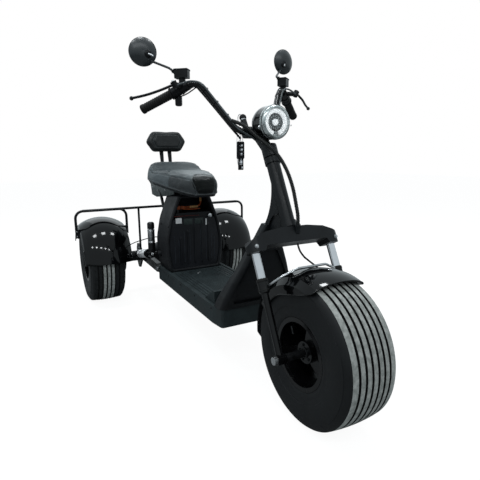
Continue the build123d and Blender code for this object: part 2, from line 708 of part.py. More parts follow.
def footboard(frame):
    """The moulded floor tray: raised rim, open underside, laid over the frame rails."""
    outline = (
        (-FLOOR_HALF + 8, FLOOR_FRONT), (FLOOR_HALF - 8, FLOOR_FRONT), (FLOOR_HALF, FLOOR_FRONT + 66),
        (FLOOR_HALF, FLOOR_REAR), (-FLOOR_HALF, FLOOR_REAR), (-FLOOR_HALF, FLOOR_FRONT + 66),
    )
    face = make_face(Polyline(*[(x, aft(back)) for x, back in outline], close=True))
    face = fillet(face.vertices(), 12)
    tray = extrude(Plane.XY.offset(FLOOR_LOW) * face, amount=FLOOR_RIM_TOP - FLOOR_LOW)
    length = FLOOR_REAR - FLOOR_FRONT
    middle = (FLOOR_FRONT + FLOOR_REAR) / 2
    under = Box(2 * (FLOOR_HALF - FLOOR_SKIRT) - 8, length - 2 * FLOOR_SKIRT, RAIL_TOP - FLOOR_LOW)
    tray -= Location(point(0, middle, (RAIL_TOP + FLOOR_LOW) / 2)) * under
    well_front = SHIELD_SECTIONS[0][1] + SHIELD_SECTIONS[0][2] + 2
    well_length = FLOOR_REAR - FLOOR_REAR_RIM - well_front
    well = Box(2 * (FLOOR_HALF - FLOOR_RIM), well_length, 2 * (FLOOR_RIM_TOP - FLOOR_TOP))
    tray -= Location(point(0, well_front + well_length / 2, FLOOR_RIM_TOP)) * well
    return tray - frame - housing_prism(0, HOUSING_FRONT, HOUSING_DEPTH)


MAT_THICKNESS = 4
MAT_RIDGE = 3


def floor_mat():
    """The rubber mat: ridges along the floor and a ribbed toe ramp at the front."""
    front = SHIELD_SECTIONS[0][1] + SHIELD_SECTIONS[0][2] + 4
    rear = HOUSING_FRONT - 12
    half = FLOOR_HALF - FLOOR_RIM - 3
    top = FLOOR_TOP + MAT_THICKNESS
    mat = across(-half, half, ((front, FLOOR_TOP), (front, top), (rear, top), (rear, FLOOR_TOP)))
    ramp_rear = front + 96
    ramp_top = top + 52
    mat += across(-half, half, ((front, top), (front, ramp_top), (front + 10, ramp_top), (ramp_rear, top)))
    for step in range(5):
        back = front + 22 + 14 * step
        z = ramp_top - (back - front - 10) * (ramp_top - top) / (ramp_rear - front - 10)
        mat += cross_rod(point(0, back, z), MAT_RIDGE, 2 * half - 16)
    for side in SIDES:
        for row in range(4):
            x = side * (half - 14 - 16 * row)
            mat += across(x - 3, x + 3, ((ramp_rear, top), (ramp_rear + 10, top + MAT_RIDGE),
                                         (rear - 30, top + MAT_RIDGE), (rear - 20, top)))
    return mat


# ---- battery housing ----------------------------------------------------------------------
HOUSING_HALF_OUTLINE = (
    # half width, height
    (136, FLOOR_TOP), (150, 330), (151, 400), (131, 500), (84, HOUSING_TOP),
)


def housing_prism(inset, front, depth, top=None):
    """The housing's outline drawn in by an inset, run back from its front by a depth."""
    right = []
    for half_width, height in HOUSING_HALF_OUTLINE:
        level = min(max(height, FLOOR_TOP + inset), HOUSING_TOP - inset)
        right.append((half_width - inset, level))
    left = [(-x, z) for x, z in reversed(right)]
    face = make_face(Polyline(*right, *left, close=True))
    levels = face.vertices().group_by(Axis.Y)
    face = fillet([vertex for level in levels[1:-1] for vertex in level], HOUSING_SIDE_RADIUS - inset)
    levels = face.vertices().group_by(Axis.Y)
    face = fillet(levels[0] + levels[-1], 12)
    plane = Plane(origin=(0, aft(front), 0), x_dir=(1, 0, 0), z_dir=(0, -1, 0))
    prism = extrude(plane * face, amount=-depth)
    if top:
        prism &= Location(point(0, front, 0)) * Box(
            1000, 1000, top, align=(Align.CENTER, Align.CENTER, Align.MIN))
    return prism


def battery_housing(frame):
    """The moulded hoop that carries the seat and wraps the battery, with lugs for the shocks."""
    hoop = housing_prism(0, HOUSING_FRONT, HOUSING_DEPTH)
    for side in SIDES:
        lug_x = side * (SHOCK_X - 14)
        hoop += rod(point(side * 120, SHOCK_FRONT[0], SHOCK_FRONT[1]),
                    point(lug_x, SHOCK_FRONT[0], SHOCK_FRONT[1]), 13)
    hoop -= housing_prism(HOUSING_WALL, HOUSING_FRONT - 1, HOUSING_DEPTH - HOUSING_BACK_WALL + 1)
    hoop = chamfer(hoop.faces().sort_by(Axis.Y)[0].edges(), HOUSING_BEVEL)
    return hoop - frame


RIB_TABLE = (
    # side, height of the rib's top
    (-76, 408), (-38, 440), (0, 470), (38, 492), (76, 470),
)


def battery_pack():
    """The removable battery: a ribbed case that slides into the housing from the front."""
    front = HOUSING_FRONT + BATTERY_INSET
    depth = HOUSING_DEPTH - BATTERY_INSET - HOUSING_BACK_WALL - BATTERY_GAP
    case = housing_prism(HOUSING_WALL + BATTERY_GAP, front, depth, BATTERY_TOP)
    drop = Location((0, 0, -BATTERY_GAP))
    case = (case + drop * case) & Location(point(0, front, FLOOR_TOP + HOUSING_WALL)) * Box(
        1000, 1000, 1000, align=(Align.CENTER, Align.CENTER, Align.MIN))
    for x, rib_top in RIB_TABLE:
        case += across(x - RIB_WIDTH / 2, x + RIB_WIDTH / 2, (
            (front, 268), (front - RIB_DEPTH, 276), (front - RIB_DEPTH, rib_top), (front, rib_top + 8)))
    return case


def battery_cap():
    """The battery's top moulding with its carrying handle."""
    front = HOUSING_FRONT + BATTERY_INSET
    cap = Location(point(0, HOUSING_FRONT + HOUSING_DEPTH / 2, BATTERY_TOP + CAP_HEIGHT / 2)) * fillet(
        Box(196, HOUSING_DEPTH - 4 * BATTERY_INSET, CAP_HEIGHT).edges().filter_by(Axis.Z), 12)
    level = BATTERY_TOP + CAP_HEIGHT
    back = front + 60
    ends = [point(-52, back, level - 2), point(-46, back, level + 30), point(46, back, level + 30),
            point(52, back, level - 2)]
    return cap + bent_tube(ends, 6, [12, 12])


CABLE_ROUTE = (
    # side, behind the front axle, height: from the plug in the cap to the seat's underside
    (-70, 1036, 560), (-36, 1030, 562), (0, 1028, 560), (30, 1030, 562), (48, 1038, 572),
    (50, 1042, 590),
)


def battery_cable():
    """The orange power lead from its plug on the battery up into the housing."""
    start = point(-78, 1036, 560)
    plug = rod(start - Vector(8, 0, 0), start + Vector(14, 0, 0), 9)
    foot = rod(point(-78, 1036, BATTERY_TOP + CAP_HEIGHT), point(-78, 1036, 556), 8)
    end = point(50, 1042, HOUSING_TOP - HOUSING_WALL)
    route = [point(*place) for place in CABLE_ROUTE]
    return plug + foot + bent_tube(route + [end], 5)


# ---- seat ---------------------------------------------------------------------------------
SEAT_PLAN = (
    # way back along the seat, half width
    (0, 60), (80, 92), (190, 124), (330, 158), (430, 157), (500, 122), (535, 66),
)
SEAT_CORNER = 45
SEAT_SIDE = (
    # way back along the seat, height above the pan
    (0, 68), (26, 90), (130, 88), (265, 75), (385, 60), (452, 84), (550, 80),
)


def seat_plane():
    tilt = radians(SEAT_TILT)
    return Plane(origin=point(0, SEAT_NOSE, SEAT_NOSE_Z), x_dir=(1, 0, 0), z_dir=(0, -sin(tilt), cos(tilt)))


def seat_outline(inset=0):
    """The saddle's plan on its own plane, drawn in by an inset."""
    right = [(half_width - inset, max(way, inset)) for way, half_width in SEAT_PLAN]
    left = [(-x, y) for x, y in reversed(right)]
    return fillet(make_face(Polyline(*right, *left, close=True)).vertices(), SEAT_CORNER - inset)


def seat_cushion():
    """The saddle: narrow nose, wide rear and a raised bolster, with walls that lean inward."""
    block = extrude(seat_outline(), amount=110, taper=SEAT_LEAN)
    side = [(way, height) for way, height in SEAT_SIDE]
    profile = make_face(Polyline((-10, 0), (-10, SEAT_SIDE[0][1]), *side, (550, 0), close=True))
    return seat_plane() * (block & extrude(Plane.YZ * profile, amount=200, both=True))


def seat_pan():
    """The steel pan under the saddle, its pedestal on the housing, rear stays and post ledge."""
    plane = seat_plane()
    plate = plane * extrude(seat_outline(8), amount=-SEAT_PAN)
    ledge = plane * Location((0, 540, -SEAT_PAN / 2)) * Box(74, 70, SEAT_PAN)
    below = plane * Location((0, 300, -SEAT_PAN)) * Box(
        600, 1400, 400, align=(Align.CENTER, Align.CENTER, Align.MAX))
    front = HOUSING_FRONT + 12
    pedestal = across(-66, 66, ((front, HOUSING_TOP), (front, 720), (front + 112, 720),
                                (front + 112, HOUSING_TOP))) & below
    tray = across(-92, 92, ((1128, 634), (1150, 720), (1352, 720), (1352, 660), (1290, 640))) & below
    pan = plate + ledge + pedestal + tray
    for side in SIDES:
        pan += rod(point(side * 86, 1300, 655), point(side * 105, HOUSING_REAR + 7, 552), 8)
    return pan


def backrest_place():
    """The foot of the backrest on the pan's ledge, leaning back."""
    foot = SEAT_NOSE_Z + (POST_BACK - SEAT_NOSE) * tan(radians(SEAT_TILT))
    return Location(point(0, POST_BACK, foot)) * Rot(-BACKREST_LEAN, 0, 0)


def backrest_posts(pan):
    """Two bars that widen upwards from the pan's ledge to the plate behind the pad."""
    plane = Plane(origin=(0, 0, 0), x_dir=(1, 0, 0), z_dir=(0, -1, 0))
    top = PAD_RISE + PAD_HEIGHT / 2 - 20
    posts = Location((0, 2, PAD_RISE)) * Box(130, 4, 74)
    for side in SIDES:
        x = side * POST_X
        bar = make_face(Polyline((x - 6, -2), (x + 6, -2), (x + 11, PAD_RISE - 50), (x + 11, top),
                                 (x - 11, top), (x - 11, PAD_RISE - 50), close=True))
        posts += extrude(plane * bar, amount=-POST_THICKNESS)
    return backrest_place() * posts - pan


def backrest_pad():
    """A six-sided pad with softened front edges."""
    half_height = PAD_HEIGHT / 2
    face = make_face(Polyline(
        (-PAD_HALF, 0), (-PAD_HALF + 36, half_height), (PAD_HALF - 36, half_height), (PAD_HALF, 0),
        (PAD_HALF - 36, -half_height), (-PAD_HALF + 36, -half_height), close=True))
    face = fillet(face.vertices(), 20)
    plane = Plane(origin=(0, -PAD_THICKNESS, PAD_RISE), x_dir=(1, 0, 0), z_dir=(0, -1, 0))
    pad = extrude(plane * face, amount=-PAD_THICKNESS)
    return backrest_place() * chamfer(pad.faces().sort_by(Axis.Y)[0].edges(), PAD_EDGE)


# ---- rear axle and suspension ---------------------------------------------------------------
BRACKET_OUTLINE = (
    # distance behind the rear axle and height above it
    (-58, -22), (-58, 44), (-28, 72), (20, 72), (38, 42), (38, -38), (12, -70), (-14, -70),
)


def rear_axle_housing():
    """The live axle's tube with brake plates, spindles, gear case and spring brackets."""
    centre = Vector(0, REAR_Y, TYRE_RADIUS)
    axle = cross_rod(centre, AXLE_TUBE_RADIUS, 2 * AXLE_TUBE_HALF)
    axle += cross_rod(centre, REAR_SPINDLE_RADIUS, 2 * (REAR_X + HUB_HALF + 24))
    gear_case = revolve(make_face(Polyline(
        (-78, 0), (-78, 40), (-52, 68), (-10, 68), (-10, 0), close=True)), Axis.X)
    axle += Location(centre) * gear_case
    for side in SIDES:
        plate_x = side * (AXLE_TUBE_HALF + BRAKE_PLATE_THICKNESS / 2)
        axle += cross_rod(centre + Vector(plate_x, 0, 0), BRAKE_PLATE_RADIUS, BRAKE_PLATE_THICKNESS)
        x = side * BRACKET_X
        outline = [(WHEELBASE + back, AXLE_Z + rise) for back, rise in BRACKET_OUTLINE]
        axle += across(x - BRACKET_THICKNESS / 2, x + BRACKET_THICKNESS / 2, outline)
    return axle


def drive_motor(axle):
    """The round motor beside the gear case, with cooling ribs round its body."""
    centre = Vector(0, REAR_Y, TYRE_RADIUS)
    motor = cross_rod(centre + Vector(60, 0, 0), 72, 132)
    for number in range(6):
        motor += cross_rod(centre + Vector(14 + 18 * number, 0, 0), 77, 7)
    return motor - axle


def swingarm(frame, axle):
    """Two trailing arms on a cross tube that turns in the frame's lugs."""
    arms = cross_rod(point(0, PIVOT_BACK, PIVOT_Z), PIVOT_RADIUS, 2 * (ARM_X + ARM_WIDTH / 2))
    for side in SIDES:
        x = side * ARM_X
        arms += across(x - ARM_WIDTH / 2, x + ARM_WIDTH / 2, (
            (PIVOT_BACK - 22, PIVOT_Z - 16), (PIVOT_BACK - 22, PIVOT_Z + 12),
            (PIVOT_BACK - 8, PIVOT_Z + 15), (PIVOT_BACK + 12, PIVOT_Z + ARM_DEPTH / 2 + 2),
            (WHEELBASE - 8, AXLE_Z + 24), (WHEELBASE - 8, AXLE_Z - 24),
            (PIVOT_BACK + 12, PIVOT_Z - ARM_DEPTH / 2)))
    return arms - frame - axle


def shock_point(side, share, offset=0):
    """A point at a share of the shock's length from its rear eye, offset across it."""
    rear = point(side * SHOCK_X, *SHOCK_REAR)
    front = point(side * SHOCK_X, *SHOCK_FRONT)
    line = front - rear
    across_line = Vector(0, -line.Z, line.Y).normalized()
    return rear + line * share - across_line * offset


def shock_absorber(side):
    """A damper between two eyes, with its upright bright reservoir at the front end."""
    rear_eye = shock_point(side, 0)
    front_eye = shock_point(side, 1)
    inner = side * -1
    body = cross_rod(rear_eye, 13, 20) + cross_rod(front_eye, 13, 20)
    body += rod(shock_point(side, 0.02), shock_point(side, 0.98), DAMPER_RADIUS - 4)
    body += rod(shock_point(side, 0.10), shock_point(side, 0.13), SPRING_RADIUS + 2)
    body += rod(shock_point(side, 0.13), shock_point(side, 0.66), DAMPER_RADIUS)
    body += rod(shock_point(side, 0.66), shock_point(side, 0.72), SPRING_RADIUS + 2)
    body += rod(shock_point(side, 0.70), shock_point(side, 0.94), 20)
    pin_end = Vector(inner * (SHOCK_X - BRACKET_X - BRACKET_THICKNESS / 2), 0, 0)
    body += rod(rear_eye, rear_eye + pin_end, 6)
    foot = shock_point(side, 0.86)
    body += rod(foot, foot + Vector(0, 0, 58), 19)
    body += rod(foot + Vector(0, 0, 58), foot + Vector(0, 0, 132), 18)
    body += rod(foot + Vector(0, 0, 132), foot + Vector(0, 0, 146), 11)
    return body


def shock_spring(side):
    """The coil as a wavy sleeve between the two spring plates, one wave for each turn."""
    start, end = shock_point(side, 0.13), shock_point(side, 0.66)
    length = (end - start).length
    turns = 8
    pitch = length / turns
    inner = SPRING_RADIUS - 2 * SPRING_WIRE
    edge = [(inner, 0)]
    for turn in range(turns):
        edge += [(inner + SPRING_WIRE, pitch * turn), (SPRING_RADIUS, pitch * (turn + 0.25)),
                 (SPRING_RADIUS, pitch * (turn + 0.75))]
    edge += [(inner + SPRING_WIRE, length), (inner, length)]
    sleeve = revolve(Plane.XZ * make_face(Polyline(*edge, close=True)), Axis.Z)
    return Plane(origin=start, z_dir=end - start) * sleeve


# ---- rear fenders and rail ------------------------------------------------------------------
REAR_FENDER_EDGE = (
    # half width and radius about the axle, from the flange's lower edge up to the crown
    (FENDER_HALF, FENDER_RADIUS - 60), (FENDER_HALF, FENDER_RADIUS - 50),
    (FENDER_HALF - 4, FENDER_RADIUS - 41), (FENDER_HALF - 22, FENDER_RADIUS - 28), (0, FENDER_RADIUS),
)


def rear_fender(side):
    """A rolled fender over the front, top and back of a rear tyre, with turned-down flanges."""
    shell = revolve(arched_section(REAR_FENDER_EDGE, FENDER_SKIN), Axis.X, FENDER_END - FENDER_START)
    # turned from the rear end of the arc, which stays above the level of the axle
    return Location((side * FENDER_X, REAR_Y, TYRE_RADIUS)) * Rot(180 - FENDER_END, 0, 0) * shell


def fender_rail(axle):
    """Hoops over both fenders, joined by one long rail that stands on the axle brackets."""
    inner_x = FENDER_X - HOOP_HALF
    outer_x = FENDER_X + HOOP_HALF
    rail_back = HOOP_BACK + 2 * HOOP_TUBE - 2
    rail_end = outer_x - HOOP_BEND
    rail = rod(point(-rail_end, rail_back, HOOP_TOP), point(rail_end, rail_back, HOOP_TOP), HOOP_TUBE)
    for side in SIDES:
        leg_low = HOOP_TAB_TOP - HOOP_TAB_DROP + 6
        ends = [point(side * inner_x, HOOP_BACK, leg_low), point(side * inner_x, HOOP_BACK, HOOP_TOP),
                point(side * outer_x, HOOP_BACK, HOOP_TOP), point(side * outer_x, HOOP_BACK, leg_low)]
        rail += bent_tube(ends, HOOP_TUBE, [HOOP_BEND, HOOP_BEND])
        rail += rod(point(side * BRACKET_X, rail_back, AXLE_Z + 54),
                    point(side * BRACKET_X, rail_back, HOOP_TOP), 6)
        tabs = ((FENDER_X + FENDER_HALF, outer_x - 2), (FENDER_X - FENDER_HALF, inner_x + 2))
        low = HOOP_TAB_TOP - HOOP_TAB_DROP
        for tab in tabs:
            ends = [side * x for x in tab]
            rail += across(min(ends), max(ends), (
                (HOOP_BACK - 16, low), (HOOP_BACK - 16, HOOP_TAB_TOP), (HOOP_BACK + 16, HOOP_TAB_TOP),
                (HOOP_BACK + 16, low)))
    return rail - axle


def tail_lamp():
    """The tail lamp on the back of the seat tray."""
    body = Location(point(0, 1365, 674)) * fillet(Box(120, 26, 28).edges().filter_by(Axis.Y), 8)
    return body


CABLE_REAR_ROUTE = (
    # side, behind the front axle, height: from the right brake plate to the housing
    (-AXLE_TUBE_HALF, 1462, 292), (-244, 1462, 292), (-228, 1436, 314), (-214, 1384, 334),
    (-204, 1324, 352), (-190, 1266, 370), (-168, 1224, 384), (-148, 1190, 392),
)


def rear_brake_cable():
    """The thin cable from the housing back to the right brake plate."""
    route = [point(*place) for place in CABLE_REAR_ROUTE]
    cable = bent_tube(route + [point(-140, HOUSING_REAR - 3, 394)], 2.5)
    return cable - housing_prism(0, HOUSING_FRONT, HOUSING_DEPTH)


frame = main_frame()
axle_housing = rear_axle_housing()
pan = seat_pan()
sliders = both_sides(fork_slider)
bar = handlebar()

PARTS = {
    "main_frame": frame,
    "apron_panel": apron_panel(),
    "footboard": footboard(frame),
    "floor_mat": floor_mat(),
    "battery_housing": battery_housing(frame),
    "battery_pack": battery_pack(),
    "battery_cap": battery_cap(),
    "battery_cable": battery_cable(),
    "seat_pan": pan,
    "seat_cushion": seat_cushion(),
    "backrest_posts": backrest_posts(pan),
    "backrest_pad": backrest_pad(),
    "swingarm": swingarm(frame, axle_housing),
    "rear_axle_housing": axle_housing,
    "drive_motor": drive_motor(axle_housing),
    "shock_absorbers": both_sides(shock_absorber),
    "shock_springs": both_sides(shock_spring),
    "rear_fender_right": rear_fender(RIGHT),
    "rear_fender_left": rear_fender(LEFT),
    "fender_rail": fender_rail(axle_housing),
    "tail_lamp": tail_lamp(),
    "rear_brake_cable": rear_brake_cable(),
    "fork_crown": fork_crown(),
    "stanchions": both_sides(stanchion),
    "fork_sliders": sliders,
    "front_axle": front_axle(),
    "front_fender": front_fender(),
    "front_mudflap": front_mudflap(),
    "fender_brace": fender_brace(sliders),
    "brake_caliper": brake_caliper(sliders),
    "handlebar_stem": handlebar_stem(bar),
    "handlebar": bar,
    "grips": both_sides(grip),
    "hand_controls": both_sides(hand_control),
    "brake_levers": both_sides(brake_lever),
    "mirrors": both_sides(mirror),
    "headlamp_shell": headlamp_shell(),
    "headlamp_lens": headlamp_lens(),
    "wiring_conduit": wiring_conduit(bar),
    "brake_hose": brake_hose(),
    "key_set": key_set(),
    "front_tyre": tyre(FRONT_AXLE),
    "front_rim": rim(FRONT_AXLE, FRONT_AXLE_RADIUS + RUNNING_GAP),
    "brake_disc": brake_disc(),
}
for name, side in (("right", RIGHT), ("left", LEFT)):
    centre = Vector(side * REAR_X, REAR_Y, TYRE_RADIUS)
    PARTS[f"rear_tyre_{name}"] = tyre(centre)
    PARTS[f"rear_rim_{name}"] = rim(centre, REAR_SPINDLE_RADIUS + RUNNING_GAP)

for node, shape in PARTS.items():
    export_step(shape, f"parts/{node}.step")
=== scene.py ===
"""Finishes and soft parts of the motorized trike, laid out as an add-on.

Every piece is in metres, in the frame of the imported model: -Y is the way the trike drives,
+X is the rider's left and +Z is up.
"""

from math import cos, hypot, pi, radians, sin

import bmesh
import bpy
from bpy.props import FloatProperty, FloatVectorProperty, IntProperty, PointerProperty
from mathutils import Matrix, Vector
from mathutils.bvhtree import BVHTree
from mathutils.kdtree import KDTree


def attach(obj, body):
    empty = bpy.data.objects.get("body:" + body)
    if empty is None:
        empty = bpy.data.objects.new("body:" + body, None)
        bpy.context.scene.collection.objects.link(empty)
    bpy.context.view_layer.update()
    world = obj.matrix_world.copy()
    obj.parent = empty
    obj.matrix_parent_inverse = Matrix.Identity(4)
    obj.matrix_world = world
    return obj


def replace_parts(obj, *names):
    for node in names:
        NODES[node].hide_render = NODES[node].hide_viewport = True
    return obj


bl_info = {
    "name": "Motorized trike finish",
    "version": (1, 0, 0),
    "blender": (4, 5, 0),
    "location": "View3D > Sidebar > Trike",
    "description": "Tyres, upholstery, lamp, controls, cables and finishes for the trike",
    "category": "Object",
}

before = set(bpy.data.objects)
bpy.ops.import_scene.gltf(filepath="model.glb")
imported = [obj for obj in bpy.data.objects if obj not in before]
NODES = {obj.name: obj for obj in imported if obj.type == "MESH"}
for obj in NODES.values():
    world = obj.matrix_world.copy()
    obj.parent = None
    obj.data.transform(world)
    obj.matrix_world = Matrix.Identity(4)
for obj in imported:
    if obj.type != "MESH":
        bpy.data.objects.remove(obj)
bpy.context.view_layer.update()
MM = 0.001
FULL_TURN = 2 * pi
X_AXIS = Vector((1, 0, 0))
AHEAD = Vector((0, -1, 0))
UP = Vector((0, 0, 1))
SIDES = (-1, 1)
SIDE_NAMES = {-1: "right", 1: "left"}

# ---- places that the CAD shares ----
FRONT_Y = -750
TYRE_RADIUS = 228.5
RAKE = radians(26.5)
STEER_UP = Vector((0, sin(RAKE), cos(RAKE)))
STEER_BACK = Vector((0, cos(RAKE), -sin(RAKE)))
FRONT_AXLE = Vector((0, FRONT_Y, TYRE_RADIUS)) * MM
WHEELS = (
    # tyre node, rim node, body, centre
    ("front_tyre", "front_rim", "front_wheel", FRONT_AXLE),
    ("rear_tyre_right", "rear_rim_right", "rear_wheel_right", Vector((-0.388, 0.75, 0.2285))),
    ("rear_tyre_left", "rear_rim_left", "rear_wheel_left", Vector((0.388, 0.75, 0.2285))),
)


def at(x, back, z):
    """A point by its side, its distance behind the front axle and its height, from millimetres."""
    return Vector((x, FRONT_Y + back, z)) * MM


def stand(x, back, z):
    """The place of a shape that is only moved there, in the same terms."""
    return Matrix.Translation(at(x, back, z))


def steer(side, along, back=0):
    """A point by its side, its way up the steering axis and its offset behind that axis."""
    return FRONT_AXLE + Vector((side * MM, 0, 0)) + STEER_UP * along * MM + STEER_BACK * back * MM


def framed(origin, along, up):
    """The place of a shape whose own X points along, with its Z as near to up as it can be."""
    x = along.normalized()
    y = up.cross(x).normalized()
    return Matrix.Translation(origin) @ Matrix((x, y, x.cross(y))).transposed().to_4x4()


def facing(origin, direction):
    """The place of a shape whose own Z points in this direction from this origin."""
    return Matrix.Translation(origin) @ direction.to_track_quat("Z", "Y").to_matrix().to_4x4()


# ---- mesh helpers ----
def circle(count):
    """The cosine and the sine of each of count equal steps round a turn."""
    return [(cos(FULL_TURN * i / count), sin(FULL_TURN * i / count)) for i in range(count)]


def outward(bm):
    """Turns every face to look outwards."""
    bmesh.ops.recalc_face_normals(bm, faces=bm.faces[:])


def rounded(bm, edges, offset, segments=2):
    """Rounds edges off by an offset in millimetres."""
    bmesh.ops.bevel(bm, geom=edges, offset=offset * MM, offset_type="OFFSET", segments=segments,
                    profile=0.5, affect="EDGES", material=-1)


def lathe(profile, steps=48, closed=False, degrees=360):
    """A profile of (radius, height) in millimetres, spun about Z."""
    whole = degrees == 360
    bm = bmesh.new()
    points = [bm.verts.new((radius * MM, 0, height * MM)) for radius, height in profile]
    pairs = list(zip(points, points[1:])) + ([(points[-1], points[0])] if closed else [])
    lines = [bm.edges.new(pair) for pair in pairs]
    bmesh.ops.spin(bm, geom=points + lines, cent=(0, 0, 0), axis=(0, 0, 1), dvec=(0, 0, 0),
                   angle=radians(degrees), steps=steps, use_merge=whole)
    bmesh.ops.remove_doubles(bm, verts=bm.verts[:], dist=1e-6)
    bmesh.ops.dissolve_degenerate(bm, edges=bm.edges[:], dist=1e-7)
    if closed and not whole:
        bmesh.ops.holes_fill(bm, edges=bm.edges[:], sides=0)
    outward(bm)
    return bm


def ring(major, minor, steps=40, sides=10):
    """A torus about Z."""
    return lathe([(major + minor * x, minor * y) for x, y in circle(sides)], steps, closed=True)


def block(x, y, z, bevel=0.8, segments=2):
    """A box of these sizes in millimetres with rounded edges."""
    bm = bmesh.new()
    bmesh.ops.create_cube(bm, size=1)
    bmesh.ops.scale(bm, vec=(x * MM, y * MM, z * MM), verts=bm.verts[:])
    rounded(bm, bm.edges[:], bevel, segments)
    return bm


def bolt(radius, height=None):
    """A hexagon head on its washer, standing on Z = 0."""
    height = height or radius * 0.75
    bm = bmesh.new()
    bmesh.ops.create_cone(bm, cap_ends=True, segments=6, radius1=radius * MM, radius2=radius * MM,
                          depth=height * MM, matrix=Matrix.Translation((0, 0, (height / 2 + 1) * MM)))
    rim = [edge for edge in bm.edges if all(v.co.z > height * MM * 0.8 for v in edge.verts)]
    rounded(bm, rim, radius * 0.14)
    bmesh.ops.create_cone(bm, cap_ends=True, segments=20, radius1=radius * 1.35 * MM,
                          radius2=radius * 1.3 * MM, depth=1 * MM,
                          matrix=Matrix.Translation((0, 0, 0.5 * MM)))
    return bm


def placed(shape, place):
    """A shape moved to its place."""
    bmesh.ops.transform(shape, matrix=place, verts=shape.verts[:])
    return shape


def add(target, part, place=Matrix()):
    """Puts a finished shape into a larger one at its place, and frees it."""
    placed(part, place)
    mesh = bpy.data.meshes.new("shape")
    part.to_mesh(mesh)
    part.free()
    target.from_mesh(mesh)
    bpy.data.meshes.remove(mesh)


def side_bolts(target, side, radius, places, height=None):
    """Bolts whose heads look out to one side, at (side, behind the front axle, height)."""
    for x, back, z in places:
        add(target, bolt(radius, height), facing(at(side * x, back, z), X_AXIS * side))


def linked(name, data, body):
    """Links a piece that rides on a body."""
    piece = bpy.data.objects.new(name, data)
    bpy.context.scene.collection.objects.link(piece)
    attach(piece, body)
    return piece


def piece_from(bm, name, body, finishes, sharp=35):
    """Turns a bmesh into a piece with these finishes, and frees it."""
    mesh = bpy.data.meshes.new(name)
    bm.to_mesh(mesh)
    bm.free()
    for key in finishes.split():
        mesh.materials.append(FINISHES[key])
    mesh.shade_smooth()
    mesh.set_sharp_from_angle(angle=radians(sharp))
    return linked(name, mesh, body)


def smooth_curve(name, points, steps):
    """One smooth curve through its control points."""
    curve = bpy.data.curves.new(name, "CURVE")
    curve.dimensions = "3D"
    curve.resolution_u = steps
    spline = curve.splines.new("NURBS")
    spline.points.add(len(points) - 1)
    for target, point in zip(spline.points, points):
        target.co = (*point, 1)
    spline.order_u = 3
    spline.use_endpoint_u = True
    return curve


def cable(name, points, radius, body, key):
    """A round cable on one smooth curve through its control points."""
    curve = smooth_curve(name, points, 8)
    curve.bevel_depth = radius * MM
    curve.bevel_resolution = 3
    curve.use_fill_caps = True
    curve.materials.append(FINISHES[key])
    return linked(name, curve, body)


def line_of(points):
    """The points of the smooth curve through these control points."""
    curve = smooth_curve("line", points, 12)
    holder = bpy.data.objects.new("line", curve)
    mesh = bpy.data.meshes.new_from_object(holder)
    line = [vertex.co.copy() for vertex in mesh.vertices]
    bpy.data.objects.remove(holder)
    bpy.data.curves.remove(curve)
    bpy.data.meshes.remove(mesh)
    return line


def stepped(line, step):
    """Points at equal steps along a line, with the direction at each."""
    lengths = [0]
    for here, there in zip(line, line[1:]):
        lengths.append(lengths[-1] + (there - here).length)
    count = max(2, round(lengths[-1] / step))
    places, index = [], 0
    for number in range(count + 1):
        want = lengths[-1] * number / count
        while index < len(lengths) - 2 and lengths[index + 1] < want:
            index += 1
        run = lengths[index + 1] - lengths[index]
        share = (want - lengths[index]) / run if run else 0
        here, there = line[index], line[index + 1]
        places.append((here.lerp(there, share), (there - here).normalized()))
    return places


def sleeve(line, radii, step, sides=16):
    """A tube of changing radius along a line: the radii repeat from ring to ring."""
    bm = bmesh.new()
    previous, side = None, None
    for number, (point, direction) in enumerate(stepped(line, step)):
        if side is None:
            side = direction.orthogonal().normalized()
        side = (side - direction * side.dot(direction)).normalized()
        other = direction.cross(side)
        radius = radii[number % len(radii)] * MM
        loop = [bm.verts.new(point + (side * x + other * y) * radius) for x, y in circle(sides)]
        edges = [bm.edges.new((loop[i], loop[i - 1])) for i in range(sides)]
        if previous:
            bmesh.ops.bridge_loops(bm, edges=previous + edges)
        else:
            bm.faces.new(loop)
        previous = edges
    bm.faces.new(loop)
    outward(bm)
    return bm


# ---- materials ----
# used and dusty surfaces shine less than the shader's 0.5
DULL_SPECULAR = 0.24


def linear(code):
    """An sRGB hex colour as the linear RGBA that a shader takes."""
    parts = [int(code[i:i + 2], 16) / 255 for i in (1, 3, 5)]
    return (*[c / 12.92 if c <= 0.04045 else ((c + 0.055) / 1.055) ** 2.4 for c in parts], 1)


def node(tree, kind, settings=(), links=()):
    """Adds a shader node with its settings and its incoming links."""
    made = tree.nodes.new("ShaderNode" + kind)
    for key, value in dict(settings).items():
        if isinstance(key, str) and key not in made.inputs:
            setattr(made, key, value)
        else:
            made.inputs[key].default_value = value
    for key, source in dict(links).items():
        tree.links.new(source, made.inputs[key])
    return made


def new_material(name):
    """A node material, with its tree and its shader."""
    material = bpy.data.materials.new(name)
    material.use_nodes = True
    tree = material.node_tree
    return material, tree, tree.nodes["Principled BSDF"]


